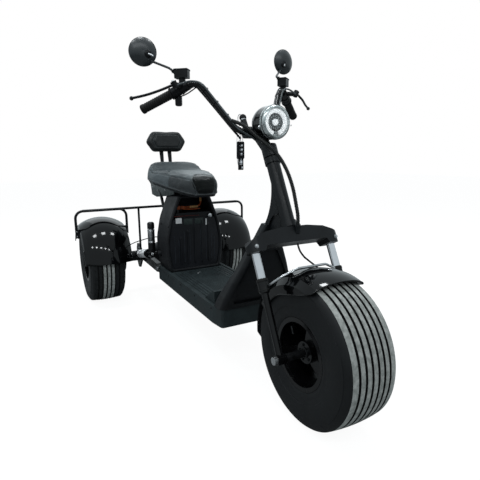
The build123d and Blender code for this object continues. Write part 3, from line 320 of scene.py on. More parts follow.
def finish(name, colour, second, roughness, mottle_mm=40, bump_mm=0.0, grain_mm=2.0, **sockets):
    """A surface whose colour drifts between two tones, with a fine bump.

    roughness is (lowest, highest); mottle_mm is the size of the tone's patches and grain_mm
    the size of the bump's grains.
    """
    material, tree, shader = new_material(name)
    sockets.setdefault("Specular_IOR_Level", DULL_SPECULAR)
    for key, value in sockets.items():
        shader.inputs[key.replace("_", " ")].default_value = value
    place = node(tree, "TexCoord").outputs["Object"]
    patches = node(tree, "TexNoise", {"Scale": 1 / (mottle_mm * MM), "Detail": 6, "Roughness": 0.6},
                   {"Vector": place}).outputs["Fac"]
    spread = node(tree, "MapRange", {"From Min": 0.35, "From Max": 0.65},
                  {"Value": patches}).outputs["Result"]
    mix = node(tree, "Mix", {"data_type": "RGBA"}, {"Factor": spread})
    mix.inputs[6].default_value = linear(colour)
    mix.inputs[7].default_value = linear(second)
    tree.links.new(mix.outputs[2], shader.inputs["Base Color"])
    gloss = node(tree, "MapRange", {"To Min": roughness[0], "To Max": roughness[1]},
                 {"Value": spread}).outputs["Result"]
    tree.links.new(gloss, shader.inputs["Roughness"])
    if bump_mm:
        grain = node(tree, "TexNoise", {"Scale": 1 / (grain_mm * MM), "Detail": 3},
                     {"Vector": place}).outputs["Fac"]
        bump = node(tree, "Bump", {"Strength": 1, "Distance": bump_mm * MM}, {"Height": grain})
        tree.links.new(bump.outputs["Normal"], shader.inputs["Normal"])
    return material


def leather(name, colour, second, roughness, shine=0.4):
    """Grained upholstery vinyl: raised cells with creases between them."""
    material = finish(name, colour, second, roughness, mottle_mm=60, Specular_IOR_Level=shine)
    tree = material.node_tree
    place = node(tree, "TexCoord").outputs["Object"]
    # the real grain is about 1 mm; it is drawn at 2.6 mm so that it shows
    cells = node(tree, "TexVoronoi", {"Scale": 1 / (2.6 * MM), "feature": "DISTANCE_TO_EDGE"},
                 {"Vector": place}).outputs["Distance"]
    crease = node(tree, "MapRange", {"From Max": 0.12}, {"Value": cells}).outputs["Result"]
    bump = node(tree, "Bump", {"Strength": 0.7, "Distance": 0.0004}, {"Height": crease})
    tree.links.new(bump.outputs["Normal"], tree.nodes["Principled BSDF"].inputs["Normal"])
    return material


def worn_tread(name, colour, second):
    """Tread rubber, roughened by the road and mottled in two tones."""
    return finish(name, colour, second, (0.75, 0.95), mottle_mm=14, bump_mm=0.25, grain_mm=1.6,
                  Specular_IOR_Level=0.3)


def clear(name):
    """A clear moulded lens."""
    material, _, shader = new_material(name)
    shader.inputs["Base Color"].default_value = linear("#ffffff")
    shader.inputs["Roughness"].default_value = 0.02
    shader.inputs["IOR"].default_value = 1.5
    shader.inputs["Transmission Weight"].default_value = 1.0
    return material


FINISHES = {}


def build_finishes():
    """Makes every material once, named for the real material and how its surface was made."""
    FINISHES.update({
        # baked powder coat over welded tube: satin, with a very fine orange peel
        "powder_coat": finish("satin powder coated steel", "#0a0c0f", "#101316", (0.34, 0.46), 70,
                              0.05, 1.2, IOR=1.46),
        # blow-moulded fender skins, polished black, with a clear coat that catches the lights
        "gloss_abs": finish("polished black ABS", "#040405", "#08090b", (0.07, 0.11), 90,
                            IOR=1.5, Specular_IOR_Level=0.16, Coat_Weight=0.16, Coat_Roughness=0.03),
        # moulded mirror shells, left with the soft sheen of the tool
        "satin_abs": finish("satin black ABS", "#181d20", "#20262a", (0.32, 0.42), 60, IOR=1.5,
                            Specular_IOR_Level=0.5),
        # injection-moulded body parts with a fine spark-eroded texture
        "texture_pp": finish("textured black polypropylene", "#0e0f12", "#16181b", (0.5, 0.66), 50,
                             0.12, 1.4, IOR=1.46),
        # the battery's ribbed case, cooler and a little smoother
        "case_abs": finish("ribbed battery case ABS", "#0c0e12", "#14161b", (0.42, 0.56), 60, 0.08, 1.3),
        # pale strips on the case's raised ribs: painted highlights along their edges
        "rib_highlight": finish("battery case ABS under painted rib highlights", "#3a4047", "#262a30", (0.4, 0.5), 25),
        # soft seal under the battery's cap
        "seal_rubber": finish("red silicone seal", "#4a1713", "#33100d", (0.45, 0.6), 14),
        # the floor tray and its mat, greener and dustier than the frame
        "floor_pp": finish("scuffed floor polypropylene", "#1a2123", "#262f31", (0.55, 0.75), 45,
                           0.15, 1.6),
        # vulcanised sidewall rubber: dull, slightly dusty
        "tyre_rubber": finish("vulcanised sidewall rubber", "#090b0d", "#121416", (0.5, 0.66), 60,
                              0.12, 2.2),
        # the moulded grooves hold no dust
        "tyre_groove": finish("tread groove rubber", "#060606", "#0d0d0d", (0.7, 0.85), 30, 0.1, 2),
        # ribs that the road has rubbed pale
        "tread_dust": worn_tread("dusty rib rubber", "#b2b5b2", "#858986"),
        # ribs that hardly touch the road
        "tread_clean": worn_tread("clean rib rubber", "#16191a", "#0e1011"),
        # soft moulded rubber, handled clean
        "hand_rubber": finish("moulded grip rubber", "#090909", "#121212", (0.6, 0.72), 25, 0.1, 1.5),
        # black enamel on cast rims and drawn legs
        "enamel": finish("black stove enamel", "#060607", "#0c0c0e", (0.16, 0.28), 80, 0.02, 3, IOR=1.5),
        # bright plate on the stanchions and the key ring
        "chrome": finish("hard chrome plate", "#d8d9dc", "#c6c8cc", (0.06, 0.12), 60, Metallic=1.0),
        # the lamp's ring, plated over plastic and brushed
        "satin_chrome": finish("satin chrome on plastic", "#c2c8c8", "#979e9e", (0.22, 0.36), 12, 0.03, 2,
                               Metallic=0.85),
        # the dark plated cup round the projector
        "smoked_chrome": finish("smoked chrome", "#9aa0a1", "#3c4142", (0.14, 0.3), 7, Metallic=0.9),
        # fasteners, axle nuts and small brackets
        "steel": finish("zinc plated steel", "#b9bbbd", "#9d9fa1", (0.24, 0.36), 20, 0.02, 1,
                        Metallic=1.0),
        # bolts that were blackened before they were fitted
        "black_steel": finish("blackened steel", "#141516", "#202123", (0.34, 0.48), 15, 0.03, 1,
                              Metallic=0.5),
        # the coils, painted silver over wire
        "spring_steel": finish("silver painted spring steel", "#c9cacc", "#adaeb0", (0.3, 0.42), 20,
                               Metallic=0.9),
        # sand cast, with a pebbled skin
        "cast_alloy": finish("as-cast aluminium", "#77797c", "#5f6164", (0.42, 0.58), 20, 0.15, 1.8,
                             Metallic=0.9),
        # machined, then anodised black
        "dark_alloy": finish("black anodised aluminium", "#0d0e10", "#17181b", (0.3, 0.42), 30, 0.03, 1,
                             Metallic=0.4),
        # extruded and formed, dull
        "corrugated": finish("corrugated polyamide conduit", "#0b0c0c", "#161817", (0.45, 0.6), 20),
        # coated upholstery cloth, embossed with a grain; the nose is rubbed smooth by the knees
        "vinyl_side": leather("grained grey vinyl", "#444c50", "#535c60", (0.42, 0.54)),
        "vinyl_dark": leather("grained dark grey vinyl", "#1b2023", "#262c2f", (0.36, 0.48)),
        "vinyl_bolster": leather("grained slate vinyl", "#2c3336", "#394144", (0.38, 0.5)),
        "vinyl_top": leather("grained charcoal vinyl", "#394144", "#4a5356", (0.3, 0.42), 0.5),
        "vinyl_nose": leather("polished black vinyl", "#020504", "#040908", (0.14, 0.24), 0.16),
        "vinyl_back": leather("grained black vinyl", "#090c0d", "#101415", (0.42, 0.54), 0.3),
        # woven cord over the lower seam
        "piping": finish("grey piping cord", "#4c5052", "#383c3e", (0.5, 0.65), 10, 0.1, 1),
        # twisted thread, waxed, so it has a slight sheen
        "seam_thread": finish("waxed seam cord", "#565d60", "#33393b", (0.4, 0.55), 12),
        # smooth sheath round the inner wires, made pale grey as a painted highlight along the cables by
        # the risers
        "sheath": finish("PVC cable sheath in painted highlight grey", "#565c5f", "#3e4446", (0.34, 0.48), 14),
        # plain plate, pickled and oiled
        "grey_steel": finish("pickled steel plate", "#5d6464", "#454c4c", (0.4, 0.55), 25, 0.05, 2,
                             Metallic=0.5),
        # extruded high-current insulation, soft and dull
        "orange": finish("orange silicone lead", "#8a3f14", "#5f2a0e", (0.4, 0.55), 14),
        # woven sleeve over the lead's joints
        "tan_wrap": finish("glass fibre wrap", "#b58e5e", "#8b683f", (0.55, 0.7), 6),
        # uncoated paper, left blank
        "white_label": finish("blank paper label", "#d3d5d6", "#bfc1c3", (0.5, 0.65), 15),
        # green-black moulded covers over the battery's sockets
        "grey_label": finish("moulded socket cover", "#1e2726", "#2b3432", (0.4, 0.55), 15),
        # moulded acrylic with a polished face
        "red_lens": finish("red acrylic lens", "#7a0c0c", "#5a0808", (0.08, 0.14), 20, Coat_Weight=0.5),
        # moulded nylon with a fine matt face
        "red_button": finish("red nylon button", "#a11c17", "#8a1612", (0.35, 0.45), 10),
        # float glass silvered behind
        "mirror_glass": finish("silvered glass", "#e9ecee", "#dfe3e5", (0.01, 0.03), 50, Metallic=1.0),
        # moulded clear, with a hard coat
        "lamp_glass": clear("clear polycarbonate lens"),
        # light guide of the halo and the frosted projector eye
        "opal": finish("opal acrylic light guide", "#f7f9f9", "#e9eded", (0.25, 0.4), 10,
                       Emission_Color=(0.93, 0.97, 1, 1), Emission_Strength=0.35),
    })
    tone = FINISHES["powder_coat"].node_tree.nodes["Mix"].inputs[6]
    tone.default_value = (*bpy.context.scene.trike_paint.frame_tone, 1)


def paint_node(name, *keys):
    """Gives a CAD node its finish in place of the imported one."""
    mesh = NODES[name].data
    mesh.materials.clear()
    for key in keys:
        mesh.materials.append(FINISHES[key])
    return mesh


NODE_FINISHES = {
    "powder_coat": ("main_frame", "fork_crown", "seat_pan", "swingarm", "rear_axle_housing",
                    "fender_rail", "handlebar_stem", "backrest_posts"),
    "gloss_abs": ("rear_fender_right", "rear_fender_left", "front_fender", "headlamp_shell"),
    "satin_abs": ("mirrors",),
    "texture_pp": ("battery_housing", "apron_panel", "front_mudflap", "battery_cap"),
    "floor_pp": ("footboard", "floor_mat"),
    "case_abs": ("battery_pack",),
    "hand_rubber": ("brake_hose", "rear_brake_cable"),
    "enamel": ("front_rim", "rear_rim_right", "rear_rim_left", "fork_sliders", "handlebar"),
    "chrome": ("stanchions",),
    "steel": ("fender_brace", "brake_disc"),
    "cast_alloy": ("brake_caliper", "drive_motor"),
    "dark_alloy": ("hand_controls", "brake_levers"),
    "red_lens": ("tail_lamp",),
}


# ---- settings ----
def distance(name, description, default, low, high):
    """A setting in metres, for the sidebar."""
    return FloatProperty(name=name, description=description, subtype="DISTANCE", unit="LENGTH",
                         default=default, min=low, max=high)


class TrikePaint(bpy.types.PropertyGroup):
    """Colours of the trike."""
    frame_tone: FloatVectorProperty(
        name="Frame", description="Colour of the powder coated frame", subtype="COLOR", size=3,
        min=0, max=1, default=linear("#0a0c0f")[:3])


class TrikeTyres(bpy.types.PropertyGroup):
    """The road tread."""
    ribs: IntProperty(name="Ribs", description="Raised ribs round each tyre", default=7, min=3, max=11)
    groove_width: distance("Groove width", "Width of each groove", 0.0062, 0.001, 0.02)
    groove_depth: distance("Groove depth", "Depth of each groove", 0.006, 0.001, 0.012)


class TrikeSeat(bpy.types.PropertyGroup):
    """The saddle and the backrest."""
    swell: distance("Swell", "The furthest that the padding may puff out", 0.010, 0, 0.03)
    seam_depth: distance("Seam depth", "Depth of the sewn seams", 0.003, 0, 0.01)


class TrikeOperator:
    """Shared options of the operators below."""
    bl_options = {"REGISTER", "UNDO"}


# ---- wheels ----
TREAD_HALF = 76
TREAD_DROP = 5
DUSTY_RIBS = 3
SIDEWALL = (
    # half width, radius: from the tread's edge down to the bead
    (76, 223.5), (81, 219.4), (84.6, 214.6), (87.6, 208.6), (89.4, 203.4), (90.9, 203.2), (91.6, 197),
    (92.6, 188), (93, 176), (93, 166), (92.4, 156), (91.2, 147), (90.2, 146.4), (89.2, 138), (87.6, 129),
    (87.9, 126), (86.2, 119), (84, 113.4), (80, 112), (72, 112),
)


class TRIKE_OT_tyres(TrikeOperator, bpy.types.Operator):
    """Ribbed road tyres on all three wheels"""
    bl_idname = "trike.tyres"
    bl_label = "Tyres"

    def execute(self, context):
        tyres = context.scene.trike_tyres
        depth = tyres.groove_depth / MM
        groove = tyres.groove_width / MM
        pitch = 2 * TREAD_HALF / tyres.ribs

        def crown(x):
            return TYRE_RADIUS - TREAD_DROP * (x / TREAD_HALF) ** 2

        tread = []
        for number in range(tyres.ribs):
            low, high = -TREAD_HALF + number * pitch, -TREAD_HALF + (number + 1) * pitch
            start = low if number == 0 else low + groove / 2
            end = high if number == tyres.ribs - 1 else high - groove / 2
            if number:
                tread += [(start, crown(start) - depth), (start + 0.4, crown(start) - 0.6)]
            middle = (start + end) / 2
            tread += [(start + 1, crown(start)), (middle, crown(middle)), (end - 1, crown(end))]
            if number < tyres.ribs - 1:
                tread += [(end - 0.4, crown(end) - 0.6), (end, crown(end) - depth)]
        right = [(-x, radius) for x, radius in reversed(SIDEWALL)]
        profile = [(radius, x) for x, radius in right + tread + list(SIDEWALL)]
        for tyre, _, body, centre in WHEELS:
            bm = lathe(profile, steps=112, closed=True)
            for face in bm.faces:
                middle = face.calc_center_median()
                radius, x = hypot(middle.x, middle.y) / MM, abs(middle.z / MM)
                dusty = body == "front_wheel" or x < DUSTY_RIBS / 2 * pitch
                flat = abs(face.normal.z) < 0.5
                if x < TREAD_HALF + 1 and radius > crown(x) - 1.3 and flat:
                    face.material_index = 1 if dusty else 3
                elif x < TREAD_HALF and radius > crown(x) - depth - 2:
                    face.material_index = 2
            piece = piece_from(placed(bm, facing(centre, X_AXIS)), f"{tyre}_ribbed", body,
                               "tyre_rubber tread_dust tyre_groove tread_clean", sharp=28)
            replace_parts(piece, tyre)
        return {"FINISHED"}


BOLT_CIRCLE = 24


class TRIKE_OT_wheel_trim(TrikeOperator, bpy.types.Operator):
    """Hub caps, valve stems and disc bolts"""
    bl_idname = "trike.wheel_trim"
    bl_label = "Wheel trim"

    def execute(self, context):
        for _, rim, body, centre in WHEELS:
            bm = bmesh.new()
            # the outer face of a rear wheel, and the brakeless face of the front one
            side = 1 if centre.x > 0 else -1
            face = centre + X_AXIS * side * 60 * MM
            for y, z in circle(5):
                add(bm, bolt(4), facing(face + Vector((0, y, z)) * BOLT_CIRCLE * MM, X_AXIS * side))
            add(bm, lathe([(17, 0), (17, 3), (15, 4.5), (13, 4.5)], 32), facing(face, X_AXIS * side))
            valve = centre + Vector((side * 66, 60, 64)) * MM
            stem = lathe([(0, 26), (2.6, 26), (3.1, 24), (3.1, 16), (2.4, 15), (3.6, 2), (4, 0)], 14)
            add(bm, stem, facing(valve, Vector((side * 0.25, -0.68, -0.69)).normalized()))
            piece_from(bm, f"{rim}_bolts", body, "black_steel")
        disc = bmesh.new()
        for number in range(5):
            turn = FULL_TURN * number / 5 + 0.3
            spot = Vector((104, cos(turn) * BOLT_CIRCLE, sin(turn) * BOLT_CIRCLE)) * MM
            add(disc, bolt(3.4), facing(FRONT_AXLE + spot, X_AXIS))
        piece_from(disc, "disc_bolts", "front_wheel", "steel")
        return {"FINISHED"}


# ---- fork and front fender ----
FORK_X = 147
FRONT_FENDER_LIP = (
    # side, radius about the axle and angle up from straight behind: along the skirt's lower edge,
    # up its raised front and over the crown
    (-102, 186.5, 31), (-102, 186.5, 42), (-102, 186.5, 54), (-102, 186.5, 66), (-102, 189.5, 91),
    (-102, 197, 97), (-101, 206, 102), (-99, 216, 106), (-94, 224, 108.6), (-86, 233, 109),
    (-60, 243.5, 109), (-30, 248.6, 109), (0, 250, 109),
)


def over_wheel(x, radius, angle):
    """A point over the front wheel by its side, its radius and its angle up from behind."""
    turn = radians(angle)
    return FRONT_AXLE + Vector((x, radius * cos(turn), radius * sin(turn))) * MM


class TRIKE_OT_fork_trim(TrikeOperator, bpy.types.Operator):
    """Dust seals and pinch bolts, and the fender's bead and bolts"""
    bl_idname = "trike.fork_trim"
    bl_label = "Fork trim"

    def execute(self, context):
        seals = bmesh.new()
        bolts = bmesh.new()
        for side in SIDES:
            lip = lathe([(13.6, 4), (16.8, 3), (18, 0), (18, -6), (16.8, -8), (13.6, -8)], 36,
                        closed=True)
            add(seals, lip, facing(steer(side * FORK_X, 238), STEER_UP))
            add(seals, ring(17.2, 1.5, 36, 8), facing(steer(side * FORK_X, 206), STEER_UP))
            add(bolts, bolt(5), facing(steer(side * 154, 338, -30), -STEER_BACK))
            add(bolts, bolt(3.6), facing(at(side * 72, 52, 470), Vector((side * 0.55, -0.1, 0.82))))
        piece_from(seals, "fork_seals", "steering", "hand_rubber")
        piece_from(bolts, "fork_bolts", "steering", "steel")
        half = [over_wheel(*place) for place in FRONT_FENDER_LIP]
        crown = [Vector((-place.x, place.y, place.z)) for place in reversed(half[:-1])]
        cable("front_fender_bead", half + crown, 1.9, "steering", "gloss_abs")
        return {"FINISHED"}


# ---- head lamp ----
LAMP_FRONT = at(0, 262, 920)


class TRIKE_OT_head_lamp(TrikeOperator, bpy.types.Operator):
    """The head lamp's bezel, clear lens, halo ring and projector"""
    bl_idname = "trike.head_lamp"
    bl_label = "Head lamp"

    def execute(self, context):
        forward = facing(LAMP_FRONT, AHEAD)
        trim = lathe([(56.2, -12), (56.6, -9), (56.2, -4), (54.6, 0.5), (51.6, 4.8), (48.6, 7.8),
                      (46.4, 9), (45.2, 8.6), (44.6, 7), (44.6, -3), (52, -6)], 96, closed=True)
        piece_from(placed(trim, forward), "lamp_bezel", "steering", "satin_chrome")
        dome = lathe([(0, 11), (16, 10.7), (30, 9.7), (40, 8.2), (44.8, 6.8), (44.8, 5.2), (40, 6.6),
                      (30, 8.1), (16, 9.1), (0, 9.4)], 80)
        glass = piece_from(placed(dome, forward), "lamp_glass", "steering", "lamp_glass")
        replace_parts(glass, "headlamp_lens")
        # the halo is open for 36 degrees at its foot
        halo = lathe([(29.4, -4), (29.8, 0), (32, 3.4), (36, 5), (40, 4.4), (43, 2), (44, -2), (44, -4)],
                     96, closed=True, degrees=324)
        foot = Matrix.Rotation(radians(-72), 4, "Z")
        piece_from(placed(halo, forward @ foot), "lamp_halo", "steering", "opal")
        inside = placed(lathe([(44.4, -5), (29, -5), (27.4, -8), (25, -12), (21, -14), (16.4, -13),
                               (14, -9), (13, -4.4), (12, -3.4), (11.2, -4.6), (11, -20), (0, -20)], 80),
                        forward)
        for x, z in circle(14):
            spot = LAMP_FRONT + Vector((x * 21, 11, z * 21)) * MM
            add(inside, block(2.4, 9, 4, 0.6, 1), framed(spot, Vector((-z, 0, x)), AHEAD))
        piece_from(inside, "lamp_reflector", "steering", "smoked_chrome")
        eye = lathe([(0, 6), (4, 5.4), (7.4, 3.4), (9.6, 0), (10.6, -5), (10.6, -12), (0, -12)], 48)
        piece_from(placed(eye, forward), "lamp_projector", "steering", "opal")
        screws = bmesh.new()
        for side in SIDES:
            add(screws, bolt(4.4, 4), facing(at(side * 54, 276, 903), Vector((side, 0, -0.3))))
            add(screws, bolt(2.2, 2), facing(at(side * 55.6, 257, 911), Vector((side, -0.5, -0.15))))
        piece_from(screws, "lamp_screws", "steering", "steel")
        return {"FINISHED"}


# ---- handlebar ----
BAR_END = (337, 640, 982)
BAR_BEND = (176, 504, 1074)
BAR_LOW = (70, 396, 893)
GRIP_LENGTH = 128


def along_grip(side, distance, forward=0, up=0):
    """A point by its way out along the grip, and its offset forward and up from the bar."""
    outer = at(side * BAR_END[0], *BAR_END[1:])
    direction = (outer - at(side * BAR_BEND[0], *BAR_BEND[1:])).normalized()
    ahead = (AHEAD - direction * direction.dot(AHEAD)).normalized()
    above = direction.cross(ahead) * -side
    return outer + (direction * (distance - GRIP_LENGTH) + ahead * forward + above * up) * MM


class TRIKE_OT_grips(TrikeOperator, bpy.types.Operator):
    """Ribbed rubber grips with flanged ends"""
    bl_idname = "trike.grips"
    bl_label = "Grips"

    def execute(self, context):
        bm = bmesh.new()
        profile = [(11.2, 0), (21, 0), (21.5, 2), (21, 5), (17, 7), (16, 9)]
        for number in range(12):
            start = 12 + number * 8.6
            profile += [(15.2, start), (16.5, start + 1.4), (16.5, start + 5.2), (15.2, start + 6.6)]
        profile += [(16, 118), (17.4, 120), (17.4, 129), (15.6, 131), (0, 131)]
        for side in SIDES:
            direction = along_grip(side, 1) - along_grip(side, 0)
            add(bm, lathe(profile, 36), facing(along_grip(side, 0), direction))
        piece = piece_from(bm, "grip_rubbers", "steering", "hand_rubber", sharp=50)
        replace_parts(piece, "grips")
        return {"FINISHED"}


# the first points of a cable by their way along the bar from the grip, and their offset forward
# and up from it; the others by side, distance behind the front axle and height
LEVER_CABLE_START = ((-36, 44, 20), (-62, 40, 16), (-88, 24, 10))
LEVER_CABLE = ((170, 476, 1062), (137, 447, 1008), (106, 414, 954), (80, 388, 908), (58, 374, 890),
               (30, 368, 876), (14, 372, 866))
SWITCH_LOOM_START = ((-30, -12, -18), (-52, -14, -14))
SWITCH_LOOM = ((176, 524, 1062), (158, 508, 1036), (127, 476, 986), (98, 446, 938), (72, 424, 898),
               (50, 414, 872))
SWITCH_LEAD = ((-236, 556, 1022), (-222, 545, 1022), (-206, 524, 1030), (-194, 508, 1040),
               (-182, 500, 1049), (-174, 500, 1060))
RESERVOIRS = {
    # side: (way along the bar from the grip, rise of the reservoir's middle over the bar)
    -1: (-42, 48), 1: (-58, 42),
}


class TRIKE_OT_controls(TrikeOperator, bpy.types.Operator):
    """Switch buttons, reservoir lids, clamp screws and the cables from the levers"""
    bl_idname = "trike.controls"
    bl_label = "Hand controls"

    def execute(self, context):
        black, red, steel = bmesh.new(), bmesh.new(), bmesh.new()
        for side in SIDES:
            axis = (along_grip(side, 1) - along_grip(side, 0)).normalized()
            rear = along_grip(side, 0, -1) - along_grip(side, 0)
            top = along_grip(side, 0, 0, 1) - along_grip(side, 0)
            for number, (way, width) in enumerate(((-26, 9), (-14, 7))):
                add(red if number else black, block(width, 9, 5, 1.2),
                    facing(along_grip(side, way, -19, 4), rear))
            add(black, block(12, 14, 8, 2), facing(along_grip(side, -20, -16, -8), rear))
            way, rise = RESERVOIRS[side]
            level = framed(along_grip(side, way) + Vector((0, 0, rise * MM)), Vector((axis.x, axis.y, 0)),
                           UP)
            add(black, block(51.4, 37.4, 5.4, 1.4), level @ Matrix.Translation((0, 0, 13.4 * MM)))
            for x, y in ((-19, -12), (19, -12), (19, 12), (-19, 12)):
                spot = level @ Matrix.Translation((x * MM, y * MM, 16 * MM))
                add(steel, lathe([(0, 1.4), (1.8, 1.2), (2.2, 0)], 12), spot)
            for way in (-60, -40):
                add(steel, bolt(2.6, 2), facing(along_grip(side, way, -16.8, 0), rear))
            add(steel, bolt(4.4, 3), facing(along_grip(side, -33, 40, 36), top))
            add(black, ring(19, 1.2, 36, 8), facing(along_grip(side, -18), axis))
        piece_from(black, "switch_blocks", "steering", "texture_pp")
        piece_from(red, "switch_buttons", "steering", "red_button")
        piece_from(steel, "control_screws", "steering", "steel")
        for side in SIDES:
            name = SIDE_NAMES[side]
            start = [along_grip(side, *place) for place in LEVER_CABLE_START]
            risers = [at(side * x, back, z) for x, back, z in LEVER_CABLE]
            # the lever cables' pale grey is painted highlight
            cable(f"lever_cable_{name}", start + risers, 3.2, "steering", "sheath")
            start = [along_grip(side, *place) for place in SWITCH_LOOM_START]
            loom = [at(side * x, back, z) for x, back, z in SWITCH_LOOM]
            cable(f"switch_loom_{name}", start + loom, 3.6, "steering", "hand_rubber")
        lead = [at(*place) for place in SWITCH_LEAD]
        cable("switch_lead", lead, 2.2, "steering", "hand_rubber")
        ties = bmesh.new()
        for side in SIDES:
            low, high = at(side * BAR_LOW[0], *BAR_LOW[1:]), at(side * BAR_BEND[0], *BAR_BEND[1:])
            riser = (high - low).normalized()
            front = AHEAD + riser * riser.y
            for share in (0.3, 0.55, 0.8):
                band = ring(12.4, 0.9, 32, 6)
                bmesh.ops.scale(band, vec=(1.22, 1, 1.8), verts=band.verts[:])
                add(ties, band, framed(low.lerp(high, share), front, riser))
        piece_from(ties, "bar_straps", "steering", "hand_rubber")
        return {"FINISHED"}


MIRRORS = {
    # side: way along the bar of the stalk's foot, its knee, the nut's share of the way from foot
    # to knee, and the middle of the glass
    -1: (-22, (-252, 552, 1114), 0.6, (-341, 592, 1169)),
    1: (-78, (172, 530, 1116), 0.46, (240, 584, 1188)),
}
MIRROR_YAW = radians(10)


class TRIKE_OT_mirrors(TrikeOperator, bpy.types.Operator):
    """Mirror glasses in their rims, and the stalks' lock nuts"""
    bl_idname = "trike.mirrors"
    bl_label = "Mirrors"

    def execute(self, context):
        glass, rims, nuts, pins = bmesh.new(), bmesh.new(), bmesh.new(), bmesh.new()
        shells = BVHTree.FromObject(NODES["mirrors"], bpy.context.evaluated_depsgraph_get())
        for side in SIDES:
            way, knee, share, centre = MIRRORS[side]
            back = facing(at(*centre), Vector((-side * sin(MIRROR_YAW), cos(MIRROR_YAW), 0)))
            add(glass, lathe([(0, 1.2), (28, 1), (43, 0.5), (43.6, 0)], 64), back)
            rim = lathe([(47.8, -7), (48.3, -1), (47.4, 1.8), (45.4, 2), (43.6, 0.6), (43.6, 0)], 72)
            add(rims, rim, back)
            foot = along_grip(side, way) + Vector((0, 0, RESERVOIRS[side][1] * MM))
            stalk = at(*knee) - foot
            add(nuts, bolt(6.4, 7), facing(foot + stalk * share, stalk))
            ahead = Vector((side * sin(MIRROR_YAW), -cos(MIRROR_YAW), 0))
            towards = (at(*knee) - at(*centre)).normalized()
            spot, normal = shells.ray_cast(at(*centre) + towards * 20 * MM + ahead * 0.08, -ahead)[:2]
            socket = lathe([(0, 3.4), (7, 3), (11, 1.6), (13.6, -1.4), (13.6, -4)], 32)
            add(nuts, socket, facing(spot, normal))
            pin = lathe([(0, 0), (3.4, 0), (3.4, 19), (2.4, 20.4), (0, 20.4)], 16)
            along = (towards + normal * 0.4).normalized()
            add(pins, pin, facing(spot + normal * 3 * MM, along))
        piece_from(glass, "mirror_glasses", "steering", "mirror_glass")
        piece_from(rims, "mirror_rims", "steering", "satin_abs")
        piece_from(nuts, "mirror_nuts", "steering", "dark_alloy")
        piece_from(pins, "mirror_pins", "steering", "steel")
        return {"FINISHED"}


KEY_BLOCKS = (
    # sizes, then the place: the dark fob and its tail, then the tail's bright plates and the
    # fob's three buttons
    ((32, 11, 64, 5.4, 4), (-28, 458, 832)), ((22, 5, 42, 2.2, 3), (-27, 458, 781)),
    ((13, 2, 15), (-29, 454.6, 786)), ((7, 2, 9), (-24, 454.6, 768)),
    ((13, 1.6, 9, 0.7), (-28, 452.4, 850)), ((13, 1.6, 9, 0.7), (-28, 452.4, 834)),
    ((9, 1.6, 9, 0.7), (-28, 452.4, 818)),
)


class TRIKE_OT_keys(TrikeOperator, bpy.types.Operator):
    """The key in its lock, with a ring, a chain, a fob and a second key"""
    bl_idname = "trike.keys"
    bl_label = "Keys"

    def execute(self, context):
        bright, dark = bmesh.new(), bmesh.new()
        add(bright, ring(15, 1.4, 40, 8), facing(at(-30, 458, 946), X_AXIS))
        for number in range(7):
            spot = at(-30, 458, 927 - number * 10.5)
            direction = X_AXIS if number % 2 else -AHEAD
            link = ring(4.6, 1.1, 16, 6)
            bmesh.ops.scale(link, vec=(1, 1.35, 1), verts=link.verts[:])
            turned = Matrix.Rotation(pi / 2 if number % 2 else 0, 4, "Z")
            add(bright, link, facing(spot, direction) @ turned)
        tilt = stand(-30, 436, 944) @ Matrix.Rotation(radians(-33), 4, "X")
        add(dark, block(4, 10, 12, 1.6, 3), tilt)
        add(dark, lathe([(0, 4.6), (8, 4.2), (12, 2), (13, 0), (12, -2), (8, -4.2), (0, -4.6)], 32),
            facing(at(-28, 438, 947), Vector((-0.47, -0.88, 0))))
        for number, (sizes, place) in enumerate(KEY_BLOCKS):
            add(dark if number < 2 else bright, block(*sizes), stand(*place))
        loop = ring(18, 0.9, 48, 6)
        bmesh.ops.scale(loop, vec=(1, 4, 1), verts=loop.verts[:])
        add(bright, loop, facing(at(-28, 462, 838), Vector((0.35, -1, 0))))
        add(bright, ring(4, 1, 24, 6), facing(at(-27, 458, 800), X_AXIS))
        add(bright, lathe([(1.6, -3.1), (3.4, -3.1), (3.8, 0), (3.4, 3.1), (1.6, 3.1)], 24, closed=True),
            facing(at(-27, 458, 795), -AHEAD))
        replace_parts(piece_from(bright, "key_ring", "steering", "chrome"), "key_set")
        fob = piece_from(dark, "key_fob", "steering", "texture_pp")
        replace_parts(fob, "key_set")
        top = at(-30, 431, 938)
        axis = (top - at(-30, 408, 903)).normalized()
        lock = lathe([(0, 1), (6, 1), (8.6, 1.4), (11.4, 0.6), (11.6, -3)], 32)
        piece_from(placed(lock, facing(top, axis)), "lock_face", "steering", "steel")
        return {"FINISHED"}


# ---- conduit ----
CONDUIT_ROUTE = (
    # side, behind the front axle, height: from the right bend of the bar round to the crown
    (-91, 401, 932), (-74, 368, 920), (-61, 338, 903), (-51, 293, 872), (-38, 248, 845),
    (-16, 218, 812), (0, 192, 764), (5, 166, 712), (6, 150, 662),
)
GLAND_FOOT = (6, 366, -26)
GLAND_TOP = (6, 388, -40)


class TRIKE_OT_conduit(TrikeOperator, bpy.types.Operator):
    """The corrugated conduit from the bar to the fork crown"""
    bl_idname = "trike.conduit"
    bl_label = "Conduit"

    def execute(self, context):
        top = steer(*GLAND_TOP)
        axis = (top - steer(*GLAND_FOOT)).normalized()
        route = [at(*place) for place in CONDUIT_ROUTE] + [top + axis * 24 * MM, top]
        line = line_of(route)
        bm = sleeve(line, (6.5, 6.5, 5.3, 5.3), 1.25 * MM)
        piece = piece_from(bm, "corrugated_conduit", "steering", "corrugated", sharp=60)
        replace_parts(piece, "wiring_conduit")
        gland = lathe([(7, 3), (9.6, 3), (10.4, 0), (10.4, -7), (9.4, -9), (7, -9)], 6, closed=True)
        piece_from(placed(gland, facing(top, axis)), "conduit_gland", "steering", "texture_pp")
        return {"FINISHED"}


